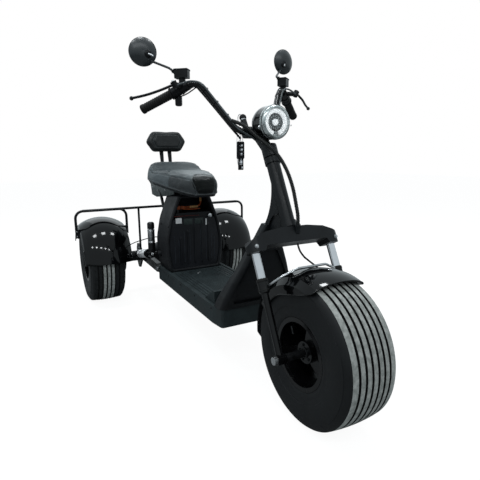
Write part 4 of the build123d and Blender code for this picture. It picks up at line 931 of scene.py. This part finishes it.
# ---- saddle and backrest ----
# heights over the pan: below the first the padding keeps the CAD's edge, and below the second
# it swells less and less towards its foot
FIRM_HEIGHT = 9 * MM
SOFT_HEIGHT = 16 * MM
CLOTH_FRAMES = 20
SEAT_TILT = radians(8.3)
SEAT_BACK = 853
SEAT_HEIGHT = 628
SEAT_ORIGIN = at(0, SEAT_BACK, SEAT_HEIGHT)
SEAT_LONG = Vector((0, cos(SEAT_TILT), sin(SEAT_TILT)))
SEAT_NORMAL = Vector((0, -sin(SEAT_TILT), cos(SEAT_TILT)))


def on_seat(x, way, height=0):
    """A point by its side, its way back along the saddle and its height above the pan."""
    return SEAT_ORIGIN + (Vector((x, 0, 0)) + SEAT_LONG * way + SEAT_NORMAL * height) * MM


def puffed(node_name, name, voxel, rounds, cap, above=None):
    """A padded copy of a CAD solid: remeshed, rounded off and swollen under pressure.

    above gives a point's height over what the padding rests on; its foot keeps its place there.
    """
    bm = bmesh.new()
    bm.from_mesh(NODES[node_name].data)
    bmesh.ops.remove_doubles(bm, verts=bm.verts[:], dist=1e-5)
    outward(bm)
    mesh = bpy.data.meshes.new(name)
    bm.to_mesh(mesh)
    bm.free()
    pad = bpy.data.objects.new(name, mesh)
    bpy.context.scene.collection.objects.link(pad)
    bpy.context.view_layer.objects.active = pad
    remesh = pad.modifiers.new("remesh", "REMESH")
    remesh.mode = "VOXEL"
    remesh.voxel_size = voxel
    apply_modifiers(pad)
    smooth_mesh(pad.data, rounds, lambda point: above is None or above(point) > FIRM_HEIGHT)
    rest = [v.co.copy() for v in pad.data.vertices]
    cloth = pad.modifiers.new("cloth", "CLOTH")
    cloth.settings.use_pressure = True
    cloth.settings.uniform_pressure_force = 4
    cloth.settings.effector_weights.gravity = 0
    scene = bpy.context.scene
    for number in range(CLOTH_FRAMES):
        scene.frame_set(number + 1)
    apply_modifiers(pad)
    scene.frame_set(1)
    for vertex, start in zip(pad.data.vertices, rest):
        moved = vertex.co - start
        if moved.length > cap:
            moved *= cap / moved.length
        foot = 1 if above is None else max(0, min(1, above(start) / SOFT_HEIGHT))
        vertex.co = start + moved * foot
    smooth_mesh(pad.data, 2)
    return pad


def swell(mesh, amount):
    """Pushes a surface out along its normals, by millimetres that depend on place and normal."""
    for vertex, normal in [(v, v.normal.copy()) for v in mesh.vertices]:
        vertex.co += normal * amount(vertex.co, normal) * MM


def apply_modifiers(piece):
    """Leaves a piece with its modifiers' result as its mesh."""
    graph = bpy.context.evaluated_depsgraph_get()
    mesh = bpy.data.meshes.new_from_object(piece.evaluated_get(graph))
    old = piece.data
    piece.modifiers.clear()
    piece.data = mesh
    bpy.data.meshes.remove(old)


def smooth_mesh(mesh, rounds, free=lambda point: True):
    """Evens out a closed mesh wherever its points are free to move."""
    bm = bmesh.new()
    bm.from_mesh(mesh)
    moving = [vertex for vertex in bm.verts if free(vertex.co)]
    for _ in range(rounds):
        bmesh.ops.smooth_vert(bm, verts=moving, factor=0.5, use_axis_x=True, use_axis_y=True,
                              use_axis_z=True)
    bm.to_mesh(mesh)
    bm.free()


def subdivided(pad):
    """One level of subdivision, applied."""
    finer = pad.modifiers.new("finer", "SUBSURF")
    finer.levels = finer.render_levels = 1
    apply_modifiers(pad)


def onto(pad, line):
    """A line's points moved to the nearest places on a surface."""
    tree = BVHTree.FromObject(pad, bpy.context.evaluated_depsgraph_get())
    return [tree.find_nearest(point)[0] for point in line]


def press_seams(mesh, lines, width, depth):
    """Presses sewn seams into a surface along lines of points."""
    points = [point for line in lines for point, _ in stepped(line, 1.5 * MM)]
    tree = KDTree(len(points))
    for number, point in enumerate(points):
        tree.insert(point, number)
    tree.balance()

    def groove(point, normal):
        away = tree.find(point)[2] / (width * MM)
        return -depth / MM * (1 - away ** 2) ** 2 if away < 1 else 0

    swell(mesh, groove)


def upholster(pad, node_name, finishes):
    """Covers a padded piece of the chassis and puts it in its CAD node's place."""
    pad.data.materials.clear()
    for key in finishes.split():
        pad.data.materials.append(FINISHES[key])
    pad.data.shade_smooth()
    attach(pad, "chassis")
    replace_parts(pad, node_name)


SEAMS = {
    # the saddle's sewn lines on its right, as (side, way back along the pan, height over the pan)
    "nose": ((-46, 4, 12), (-47, 7, 24), (-49, 12, 42), (-61, 32, 72), (-47, 50, 92), (-26, 82, 94),
             (0, 100, 94)),
    "edge": ((-61, 32, 72), (-85, 94, 70), (-106, 166, 66), (-119, 211, 65), (-134, 272, 64),
             (-152, 338, 63), (-156, 400, 65), (-146, 452, 69), (-116, 506, 73), (-60, 536, 75),
             (0, 540, 75)),
    "bolster": ((-119, 211, 66), (-103, 238, 78), (-84, 290, 78), (-58, 340, 70), (-28, 372, 64),
                (0, 382, 63)),
    "side": ((-117, 194, 65), (-119, 190, 36), (-121, 188, 10)),
}


def seam_lines(pad):
    """Every sewn line of the saddle, laid on its surface."""
    lines = []
    for name, places in SEAMS.items():
        right = [on_seat(*place) for place in places]
        left = [Vector((-point.x, point.y, point.z)) for point in right]
        runs = [right, left] if name == "side" else [right + left[-2::-1]]
        lines += [onto(pad, [point for point, _ in stepped(line_of(run), 9 * MM)]) for run in runs]
    return lines


def share_at(table, key):
    """A value read off a table of (key, value) rows, straight between them."""
    key = max(table[0][0], min(table[-1][0], key))
    for (low, start), (high, end) in zip(table, table[1:]):
        if low <= key <= high:
            return start + (end - start) * (key - low) / (high - low)
    return table[-1][1]


# (side, way back along the pan) of the seams over the top, and (way back, height) of the edge's
NOSE_TOP = ((0, 100), (26, 82), (47, 50), (61, 32), (62, 32))
BOLSTER_TOP = ((0, 382), (28, 372), (58, 340), (84, 290), (103, 238), (119, 211), (120, 211))
SIDE_SEAM = 191
EDGE_HEIGHT = ((32, 72), (94, 70), (166, 66), (211, 65), (338, 63), (452, 69), (540, 75))


def saddle_panel(centre, normal):
    """The number of the panel that a point of the saddle lies in."""
    local = centre - SEAT_ORIGIN
    x, way, height = abs(centre.x) / MM, local.dot(SEAT_LONG) / MM, local.dot(SEAT_NORMAL) / MM
    if height < share_at(EDGE_HEIGHT, way) and normal.dot(SEAT_NORMAL) < 0.8:
        # the nose's seam leans forward towards its foot
        nose_way, nose_height = EDGE_HEIGHT[0]
        if way < nose_way - (nose_height - height) * 0.5:
            return 0
        return 1 if way < SIDE_SEAM else 2
    if way < share_at(NOSE_TOP, x):
        return 0
    return 3 if way < share_at(BOLSTER_TOP, x) else 4


class TRIKE_OT_saddle(TrikeOperator, bpy.types.Operator):
    """The padded saddle with its sewn panels and piping"""
    bl_idname = "trike.saddle"
    bl_label = "Saddle"

    def execute(self, context):
        seat = context.scene.trike_seat
        pad = puffed("seat_cushion", "saddle", 0.006, 34, seat.swell * 0.5,
                     lambda point: (point - SEAT_ORIGIN).dot(SEAT_NORMAL))
        swell(pad.data, self.fullness)
        subdivided(pad)
        lines = seam_lines(pad)
        press_seams(pad.data, lines, 8, seat.seam_depth)
        panels = "vinyl_nose vinyl_dark vinyl_side vinyl_top vinyl_bolster"
        upholster(pad, "seat_cushion", panels)
        for polygon in pad.data.polygons:
            polygon.material_index = saddle_panel(polygon.center, polygon.normal)
        for number, line in enumerate(seam_lines(pad)):
            cable(f"saddle_seam_{number + 1}", line, 1.1, "chassis", "seam_thread")
        self.add_piping(pad)
        return {"FINISHED"}

    def fullness(self, point, normal):
        """How much further the walls and the bolster stand out than the front of the top."""
        local = point - SEAT_ORIGIN
        way, height = local.dot(SEAT_LONG) / MM, local.dot(SEAT_NORMAL) / MM
        wall = 1 - abs(normal.dot(SEAT_NORMAL))
        top = share_at(((330, -7), (430, -2)), way)
        return (top + (9 - top) * wall) * share_at(((0, 0), (16, 1)), height)

    def add_piping(self, pad):
        """The pale cord along the saddle's lower edge."""
        tree = BVHTree.FromObject(pad, bpy.context.evaluated_depsgraph_get())
        centre = on_seat(0, 262, 9)
        points = []
        # the rays start on an oval round the saddle
        for x, y in circle(60):
            start = on_seat(x * 330, 262 + y * 605, 9)
            hit = tree.ray_cast(start, (centre - start).normalized())[0]
            if hit is not None:
                points.append(hit + (hit - centre).normalized() * 0.6 * MM)
        points.append(points[0])
        cable("saddle_piping", points, 2.2, "chassis", "piping")


BACKREST_LEAN = radians(9)
BACKREST_BACK = 1400
# the inner panel: its middle's height, and half its width at its points and at its top, and
# half its height; and how far it stands out
PANEL_MIDDLE = 185
PANEL_POINT, PANEL_CORNER, PANEL_HALF = 84, 66, 36
PANEL_SWELL = 4.5


def on_backrest(x, y, z):
    """A point in the backrest's own leaning frame."""
    rise = (BACKREST_BACK - SEAT_BACK) * sin(SEAT_TILT) / cos(SEAT_TILT)
    foot = at(0, BACKREST_BACK, SEAT_HEIGHT + rise)
    return foot + (Matrix.Rotation(-BACKREST_LEAN, 3, "X") @ Vector((x, y, z))) * MM


class TRIKE_OT_backrest(TrikeOperator, bpy.types.Operator):
    """The padded six-sided backrest with its inset panel seam"""
    bl_idname = "trike.backrest"
    bl_label = "Backrest"

    def execute(self, context):
        seat = context.scene.trike_seat
        pad = puffed("backrest_pad", "backrest", 0.004, 12, seat.swell * 0.25)
        subdivided(pad)
        forwards = (on_backrest(0, -1, 0) - on_backrest(0, 0, 0)).normalized()
        upwards = (on_backrest(0, 0, 1) - on_backrest(0, 0, 0)).normalized()
        middle = on_backrest(0, -24, PANEL_MIDDLE)

        def inside(point):
            """How far inside the inner panel's outline a point lies, as a share of its half width."""
            x, z = abs((point - middle).x) / MM, abs((point - middle).dot(upwards)) / MM
            return 1 - max(z / PANEL_HALF, (x + 0.5 * z) / PANEL_POINT)

        def cushion(point, normal):
            full = normal.dot(forwards) >= 0.5
            return PANEL_SWELL * max(0, min(1, inside(point) * 6)) if full else 0

        swell(pad.data, cushion)
        top = [(-PANEL_POINT, 0), (-PANEL_CORNER, PANEL_HALF), (PANEL_CORNER, PANEL_HALF)]
        outline = top + [(-x, -z) for x, z in top] + top[:1]
        corners = [on_backrest(x, -52, PANEL_MIDDLE + z) for x, z in outline]
        loop = onto(pad, [a.lerp(b, step / 8) for a, b in zip(corners, corners[1:]) for step in range(8)])
        loop.append(loop[0])
        press_seams(pad.data, [loop], 6, seat.seam_depth)
        upholster(pad, "backrest_pad", "vinyl_back")
        cable("backrest_seam", onto(pad, loop), 1, "chassis", "seam_thread")
        return {"FINISHED"}


BRACKET = (
    # behind the front axle and height, round the edge of the plate at each side under the saddle
    (1130, 612), (1030, 628), (1030, 650), (1132, 664), (1240, 679), (1352, 694), (1440, 706),
    (1462, 700), (1456, 674), (1424, 657), (1405, 600), (1319, 592),
)


class TRIKE_OT_seat_brackets(TrikeOperator, bpy.types.Operator):
    """The pressed plates under the saddle's rear, with their bolts"""
    bl_idname = "trike.seat_brackets"
    bl_label = "Seat brackets"

    def execute(self, context):
        plates, bolts = bmesh.new(), bmesh.new()
        for side in SIDES:
            plate = bmesh.new()
            face = plate.faces.new([plate.verts.new(at(side * 93, back, z)) for back, z in BRACKET])
            solid = bmesh.ops.extrude_face_region(plate, geom=[face])["geom"]
            bmesh.ops.translate(plate, vec=(side * 3.5 * MM, 0, 0),
                                verts=[item for item in solid if isinstance(item, bmesh.types.BMVert)])
            outward(plate)
            rounded(plate, plate.edges[:], 0.9)
            add(plates, plate)
            side_bolts(bolts, side, 4.4, [(96.4, back, z) for back, z in (
                (1160, 640), (1290, 630), (1400, 640), (1430, 684))])
        piece_from(plates, "seat_brackets", "chassis", "grey_steel")
        piece_from(bolts, "bracket_bolts", "chassis", "steel")
        return {"FINISHED"}


# ---- battery ----
LEAD_ROUTE = (
    # side, behind the front axle, height: from the plug in the cap to the saddle's underside
    (-70, 1036, 560), (-36, 1030, 562), (0, 1028, 560), (30, 1030, 562), (48, 1038, 572), (50, 1042, 590),
    (50, 1042, 609),
)
SECOND_LEAD = ((-60, 1034, 553), (-30, 1022, 551), (0, 1019, 550), (28, 1022, 551), (40, 1030, 549))
# how far the battery's face stands behind the front axle
BATTERY_FACE = 1006.6
RIBS = (
    # side, foot and top of each pale strip on a rib of the battery's face, a painted highlight
    (-108, 280, 420), (-86, 280, 400), (-57, 282, 440), (-27, 280, 452), (3, 282, 452),
    (33, 278, 478), (62, 282, 440), (92, 280, 420), (108, 282, 400),
)


class TRIKE_OT_battery(TrikeOperator, bpy.types.Operator):
    """Blank labels, connector, knob and screws on the battery and its housing"""
    bl_idname = "trike.battery"
    bl_label = "Battery"

    def execute(self, context):
        labels = placed(block(32, 0.8, 27, 0.3, 1), stand(-84, BATTERY_FACE, 497))
        add(labels, block(7, 1, 32, 0.4, 1), stand(64, BATTERY_FACE, 482))
        piece_from(labels, "battery_labels", "chassis", "white_label")
        plates = bmesh.new()
        for x in (-34, 24):
            add(plates, block(46, 2, 30, 1, 2), stand(x, BATTERY_FACE, 490))
        piece_from(plates, "battery_plate", "chassis", "grey_label")
        knob = lathe([(0, 8), (8, 8), (11, 6), (11, 0), (0, 0)], 28)
        piece_from(placed(knob, facing(at(89, 1016, 512), AHEAD)), "battery_knob", "chassis", "steel")
        screws = bmesh.new()
        for side in SIDES:
            for back, z in ((1012, 300), (1012, 380), (1012, 470), (1128, 300), (1128, 470)):
                x = {300: 144.6, 380: 147.6, 470: 137.6}[z]
                add(screws, bolt(3.6), facing(at(side * x, back, z), Vector((side, 0, 0.1))))
        piece_from(screws, "housing_screws", "chassis", "black_steel")
        plug = placed(block(30, 20, 18, 2.5), stand(-80, 1036, 560))
        add(plug, block(18, 16, 14, 2), stand(-54, 1034, 561))
        foot = lathe([(0, 22), (7, 22), (8, 20), (8, 0), (0, 0)], 24)
        piece_from(placed(foot, stand(-78, 1036, 533)), "plug_foot", "chassis", "black_steel")
        plug_piece = piece_from(plug, "battery_plug", "chassis", "orange")
        lead = cable("battery_lead", [at(*place) for place in LEAD_ROUTE], 5, "chassis", "orange")
        second = [at(*place) for place in SECOND_LEAD]
        cable("battery_lead_second", second, 3.2, "chassis", "orange")
        wrap = bmesh.new()
        for low, high, radius in ((at(-16, 1028.6, 560.6), at(28, 1029.6, 561.4), 6.2),
                                  (at(49.8, 1041.6, 586), at(50, 1042, 607), 5.8)):
            span = (high - low).length / MM
            inner = radius - 1.6
            outline = [(inner, 0), (radius, 0.8), (radius, span - 0.8), (inner, span)]
            add(wrap, lathe(outline, 24, closed=True), facing(low, high - low))
        piece_from(wrap, "lead_wraps", "chassis", "tan_wrap")
        for piece in (plug_piece, lead):
            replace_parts(piece, "battery_cable")
        # thin pale strips along the battery's ribs: painted highlights
        fine = bmesh.new()
        for x, low, high in RIBS:
            place = stand(x, BATTERY_FACE + 0.7, (low + high) / 2)
            add(fine, block(1.6, 1.8, high - low, 0.5, 1), place)
        piece_from(fine, "battery_rib_highlights", "chassis", "rib_highlight")
        seal = [at(-112, 1010, 519), at(-60, 1008, 520), at(-10, 1008, 519), at(26, 1010, 518)]
        cable("battery_seal", seal, 2, "chassis", "seal_rubber")
        return {"FINISHED"}


# ---- suspension ----
SHOCK_REAR = (1456, 250)
SHOCK_FRONT = (1116, 318)
SHOCK_X = 182
# the front axle is dark between its nuts
AXLE_NUT_X = 161.5
CLOSED_SHARE = 0.06
# the upright canister behind the housing: its place behind the front axle, its foot's height,
# its top over the foot, and the heights between which it is bright
CANISTER_BACK = 1163.6
CANISTER_FOOT = 308
CANISTER_TOP = 160
CANISTER_BRIGHT = (392, 456)


class TRIKE_OT_suspension(TrikeOperator, bpy.types.Operator):
    """Open coil springs, and the damper's bright canister and black body"""
    bl_idname = "trike.suspension"
    bl_label = "Suspension"

    def execute(self, context):
        turns, steps, wire, radius = 9, 14, 4.2, 20.8
        for side in SIDES:
            rear, front = at(side * SHOCK_X, *SHOCK_REAR), at(side * SHOCK_X, *SHOCK_FRONT)
            start, end = rear.lerp(front, 0.135), rear.lerp(front, 0.655)
            place = facing(start, end - start)
            length = (end - start).length / MM
            points = []
            for number in range(turns * steps + 1):
                share = number / (turns * steps)
                # the coils close up over the last turn's half at each end
                near = min(share, 1 - share)
                eased = near if near > CLOSED_SHARE else CLOSED_SHARE * (near / CLOSED_SHARE) ** 1.6
                rise = wire / 2 + (eased if share < 0.5 else 1 - eased) * (length - wire)
                turn = FULL_TURN * number / steps
                points.append(place @ (Vector((cos(turn) * radius, sin(turn) * radius, rise)) * MM))
            coil = cable(f"coil_spring_{SIDE_NAMES[side]}", points, wire * 0.92, "chassis",
                         "spring_steel")
            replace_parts(coil, "shock_springs")
        axle = paint_node("front_axle", "black_steel", "steel")
        for polygon in axle.polygons:
            polygon.material_index = int(abs(polygon.center.x) > AXLE_NUT_X * MM)
        shocks = paint_node("shock_absorbers", "enamel", "steel")
        low, high = CANISTER_BRIGHT
        for polygon in shocks.polygons:
            height, back = polygon.center.z / MM, polygon.center.y / MM - FRONT_Y
            upright = abs(back - CANISTER_BACK) < 19.5
            polygon.material_index = int(upright and low < height < high)
        trim, caps = bmesh.new(), bmesh.new()
        for side in SIDES:
            for height in (64, 70, 126):
                place = stand(side * SHOCK_X, CANISTER_BACK, CANISTER_FOOT + height)
                add(trim, ring(18.4, 1.3, 36, 6), place)
            cap = lathe([(0, 10), (12, 10), (16, 7), (18.4, 2), (18.4, -24), (16, -24)], 32)
            add(caps, cap, stand(side * SHOCK_X, CANISTER_BACK, CANISTER_FOOT + CANISTER_TOP))
            side_bolts(trim, side, 7, [(SHOCK_X + 10, *SHOCK_REAR), (SHOCK_X + 10, *SHOCK_FRONT)], 7)
            side_bolts(trim, side, 5, [(170, 1470, 222), (170, 1524, 200), (170, 1470, 280)])
            side_bolts(trim, side, 9, [(153, 1178, 222)])
        piece_from(trim, "suspension_bolts", "chassis", "steel")
        piece_from(caps, "canister_caps", "chassis", "enamel")
        return {"FINISHED"}


# ---- fenders, rail and body trim ----
class TRIKE_OT_fender_trim(TrikeOperator, bpy.types.Operator):
    """Rolled beads along the rear fenders and tab bolts of the rail"""
    bl_idname = "trike.fender_trim"
    bl_label = "Fender trim"

    def execute(self, context):
        beads, bolts = bmesh.new(), bmesh.new()
        spin_to_x = Matrix(((0, 0, 1, 0), (1, 0, 0, 0), (0, 1, 0, 0), (0, 0, 0, 1)))
        for side in SIDES:
            place = stand(side * 377, 1500, TYRE_RADIUS) @ Matrix.Rotation(radians(30), 4, "X")
            for edge in SIDES:
                section = [(189.4 + 2.2 * x, edge * 122.6 + 2.2 * y) for x, y in circle(8)]
                bead = lathe(section, 90, closed=True, degrees=144)
                add(beads, bead, place @ spin_to_x)
            side_bolts(bolts, side, 3, [(512, 1440, 388), (512, 1461, 388), (512, 1440, 412)])
            # those at the rail's inner tabs look towards the middle
            side_bolts(bolts, -side, 3, [(-242, 1440, 400), (-242, 1461, 400)])
        outward(beads)
        piece_from(beads, "rear_fender_beads", "chassis", "gloss_abs")
        piece_from(bolts, "rail_bolts", "chassis", "steel")
        return {"FINISHED"}


class TRIKE_OT_floor_trim(TrikeOperator, bpy.types.Operator):
    """Fine mat ribs, two latches on the mat and the screws of the floor tray"""
    bl_idname = "trike.floor_trim"
    bl_label = "Floor trim"

    def execute(self, context):
        ribs, steel, screws = bmesh.new(), bmesh.new(), bmesh.new()
        for x in range(-117, 118, 9):
            add(ribs, block(3.4, 386, 2.2, 0.7, 1), stand(x, 778, 242.8))
        piece_from(ribs, "mat_ribs", "chassis", "floor_pp")
        for side in SIDES:
            side_bolts(screws, side, 3.2, [(156, back, 232) for back in (470, 640, 810, 980, 1120)])
        for across, back, length in ((-31, 905, 26), (-38, 600, 20)):
            turned = stand(across, back, 245) @ Matrix.Rotation(0.6, 4, "Z")
            add(steel, lathe([(0, 2), (5, 2), (6.5, 1), (6.5, -1), (0, -1)], 20), turned)
            lever = Matrix.Translation(Vector((length / 3, 0, 2)) * MM)
            add(steel, block(length, 4, 3, 1), turned @ lever)
        piece_from(screws, "floor_screws", "chassis", "black_steel")
        piece_from(steel, "floor_latches", "chassis", "steel")
        return {"FINISHED"}


class TRIKE_OT_node_finishes(TrikeOperator, bpy.types.Operator):
    """The finish of every CAD piece that is shown as it is"""
    bl_idname = "trike.node_finishes"
    bl_label = "Finishes"

    def execute(self, context):
        build_finishes()
        for key, names in NODE_FINISHES.items():
            for name in names:
                paint_node(name, key)
        return {"FINISHED"}


# ---- stage ----
CAMERA_AT = Vector((-0.7713, -1.6713, 0.8113))
CAMERA_YAW = radians(-28.17)
CAMERA_PITCH = radians(-11.54)
CAMERA_ROLL = radians(-0.42)
LENS = 30.852
LAMP_ROWS = (
    # name, middle, towards, (width, height), power of each, places along the row (m)
    ("key", (-1.6, -2.9, 3.7), (0, 0, 0.5), (0.34, 0.24), 15, (-2.3, -1.15, 0, 1.15, 2.3)),
    ("fill", (2.8, -1.6, 1.8), (0, -0.2, 0.5), (3.0, 3.0), 14, (0,)),
    ("back", (0.6, 3.2, 2.4), (0, 0.3, 0.6), (3.0, 2.0), 14, (0,)),
    ("top", (-0.3, 0.3, 3.2), (-0.3, 0.32, 0.4), (0.46, 0.36), 16, (-1.2, 0, 1.2)),
)
LAMP_TINT = (0.94, 0.98, 1)
SKY_TINT = (0.86, 0.96, 1, 1)
# the world's strength for soft light, and for what shines in metal and gloss
SKY_STRENGTHS = (0.3, 0.78)
# how bright the floor looks to the camera by itself, and how much of it is that glow
FLOOR_GLOW = 1.42
FLOOR_SHARE = 0.66


class TRIKE_OT_stage(TrikeOperator, bpy.types.Operator):
    """Pale floor, soft studio lights and the camera"""
    bl_idname = "trike.stage"
    bl_label = "Stage"

    def execute(self, context):
        scene = context.scene
        scene.view_settings.view_transform = "Standard"
        self.add_floor()
        self.add_world(scene)
        for name, middle, aim, size, power, places in LAMP_ROWS:
            ahead = Vector(aim) - Vector(middle)
            along = ahead.cross(UP).normalized()
            for number, place in enumerate(places):
                light = bpy.data.lights.new(f"{name}_{number + 1}", "AREA")
                light.shape = "RECTANGLE"
                light.size, light.size_y = size
                light.energy = power
                light.color = LAMP_TINT
                lamp = bpy.data.objects.new(light.name, light)
                lamp.location = Vector(middle) + along * place
                # the big soft fill would stand as a grey square in the fenders' gloss
                lamp.visible_glossy = name != "fill"
                lamp.rotation_euler = ahead.to_track_quat("-Z", "Y").to_euler()
                scene.collection.objects.link(lamp)
        camera = bpy.data.cameras.new("camera")
        camera.lens = LENS
        camera.sensor_width = 36
        camera.clip_start = 0.05
        holder = bpy.data.objects.new("camera", camera)
        holder.matrix_world = (
            Matrix.Translation(CAMERA_AT) @ Matrix.Rotation(CAMERA_YAW, 4, "Z")
            @ Matrix.Rotation(pi / 2 + CAMERA_PITCH, 4, "X") @ Matrix.Rotation(CAMERA_ROLL, 4, "Z"))
        scene.collection.objects.link(holder)
        scene.camera = holder
        return {"FINISHED"}

    def add_floor(self):
        """A wide pale floor that keeps a faint shadow."""
        bm = bmesh.new()
        bmesh.ops.create_grid(bm, x_segments=1, y_segments=1, size=14)
        mesh = bpy.data.meshes.new("studio_floor")
        bm.to_mesh(mesh)
        bm.free()
        floor = bpy.data.objects.new("studio_floor", mesh)
        bpy.context.scene.collection.objects.link(floor)
        material, tree, shader = new_material("pale studio floor")
        shader.inputs["Base Color"].default_value = linear("#a4a6a7")
        shader.inputs["Roughness"].default_value = 0.9
        path = node(tree, "LightPath")
        seen = node(tree, "Math", {"operation": "MAXIMUM"},
                    {0: path.outputs["Is Camera Ray"], 1: path.outputs["Is Transmission Ray"]})
        share = node(tree, "Math", {"operation": "MULTIPLY", 1: FLOOR_SHARE}, {0: seen.outputs[0]})
        glow = node(tree, "Emission", {"Color": (1, 1, 1, 1), "Strength": FLOOR_GLOW})
        mix = node(tree, "MixShader", (), {0: share.outputs[0], 1: shader.outputs["BSDF"],
                                           2: glow.outputs["Emission"]})
        tree.links.new(mix.outputs[0], tree.nodes["Material Output"].inputs["Surface"])
        mesh.materials.append(material)

    def add_world(self, scene):
        """Plain light from all round, and white where the camera or a reflection sees it."""
        world = bpy.data.worlds.new("studio")
        world.use_nodes = True
        scene.world = world
        tree = world.node_tree
        tree.nodes["Background"].inputs["Color"].default_value = SKY_TINT
        path = node(tree, "LightPath")
        soft, gloss = SKY_STRENGTHS
        strength = node(tree, "MapRange", {"To Min": soft, "To Max": gloss},
                        {"Value": path.outputs["Is Glossy Ray"]})
        tree.links.new(strength.outputs["Result"], tree.nodes["Background"].inputs["Strength"])
        white = node(tree, "Background", {"Color": (1, 1, 1, 1), "Strength": 1.0})
        mix = node(tree, "MixShader", (), {0: path.outputs["Is Camera Ray"],
                                           1: tree.nodes["Background"].outputs[0],
                                           2: white.outputs[0]})
        tree.links.new(mix.outputs[0], tree.nodes["World Output"].inputs["Surface"])


OPERATORS = (
    TRIKE_OT_node_finishes, TRIKE_OT_tyres, TRIKE_OT_wheel_trim, TRIKE_OT_fork_trim, TRIKE_OT_head_lamp,
    TRIKE_OT_grips, TRIKE_OT_controls, TRIKE_OT_mirrors, TRIKE_OT_keys, TRIKE_OT_conduit,
    TRIKE_OT_saddle, TRIKE_OT_backrest, TRIKE_OT_seat_brackets, TRIKE_OT_battery,
    TRIKE_OT_suspension, TRIKE_OT_fender_trim, TRIKE_OT_floor_trim, TRIKE_OT_stage,
)
GROUPS = (
    (TrikePaint, "trike_paint"), (TrikeTyres, "trike_tyres"), (TrikeSeat, "trike_seat"),
)


class TRIKE_PT_panel(bpy.types.Panel):
    """Lists the trike's settings and pieces in the sidebar"""
    bl_label = "Trike"
    bl_space_type = "VIEW_3D"
    bl_region_type = "UI"
    bl_category = "Trike"

    def draw(self, context):
        for group, attribute in GROUPS:
            box = self.layout.box()
            for name in group.__annotations__:
                box.prop(getattr(context.scene, attribute), name)
        for operator in OPERATORS:
            self.layout.operator(operator.bl_idname)


def register():
    for group, attribute in GROUPS:
        bpy.utils.register_class(group)
        setattr(bpy.types.Scene, attribute, PointerProperty(type=group))
    for operator in OPERATORS:
        bpy.utils.register_class(operator)
    bpy.utils.register_class(TRIKE_PT_panel)


def unregister():
    bpy.utils.unregister_class(TRIKE_PT_panel)
    for operator in reversed(OPERATORS):
        bpy.utils.unregister_class(operator)
    for group, attribute in reversed(GROUPS):
        delattr(bpy.types.Scene, attribute)
        bpy.utils.unregister_class(group)


def main():
    register()
    for operator in OPERATORS:
        family, name = operator.bl_idname.split(".")
        getattr(getattr(bpy.ops, family), name)()


if __name__ == "__main__":
    main()
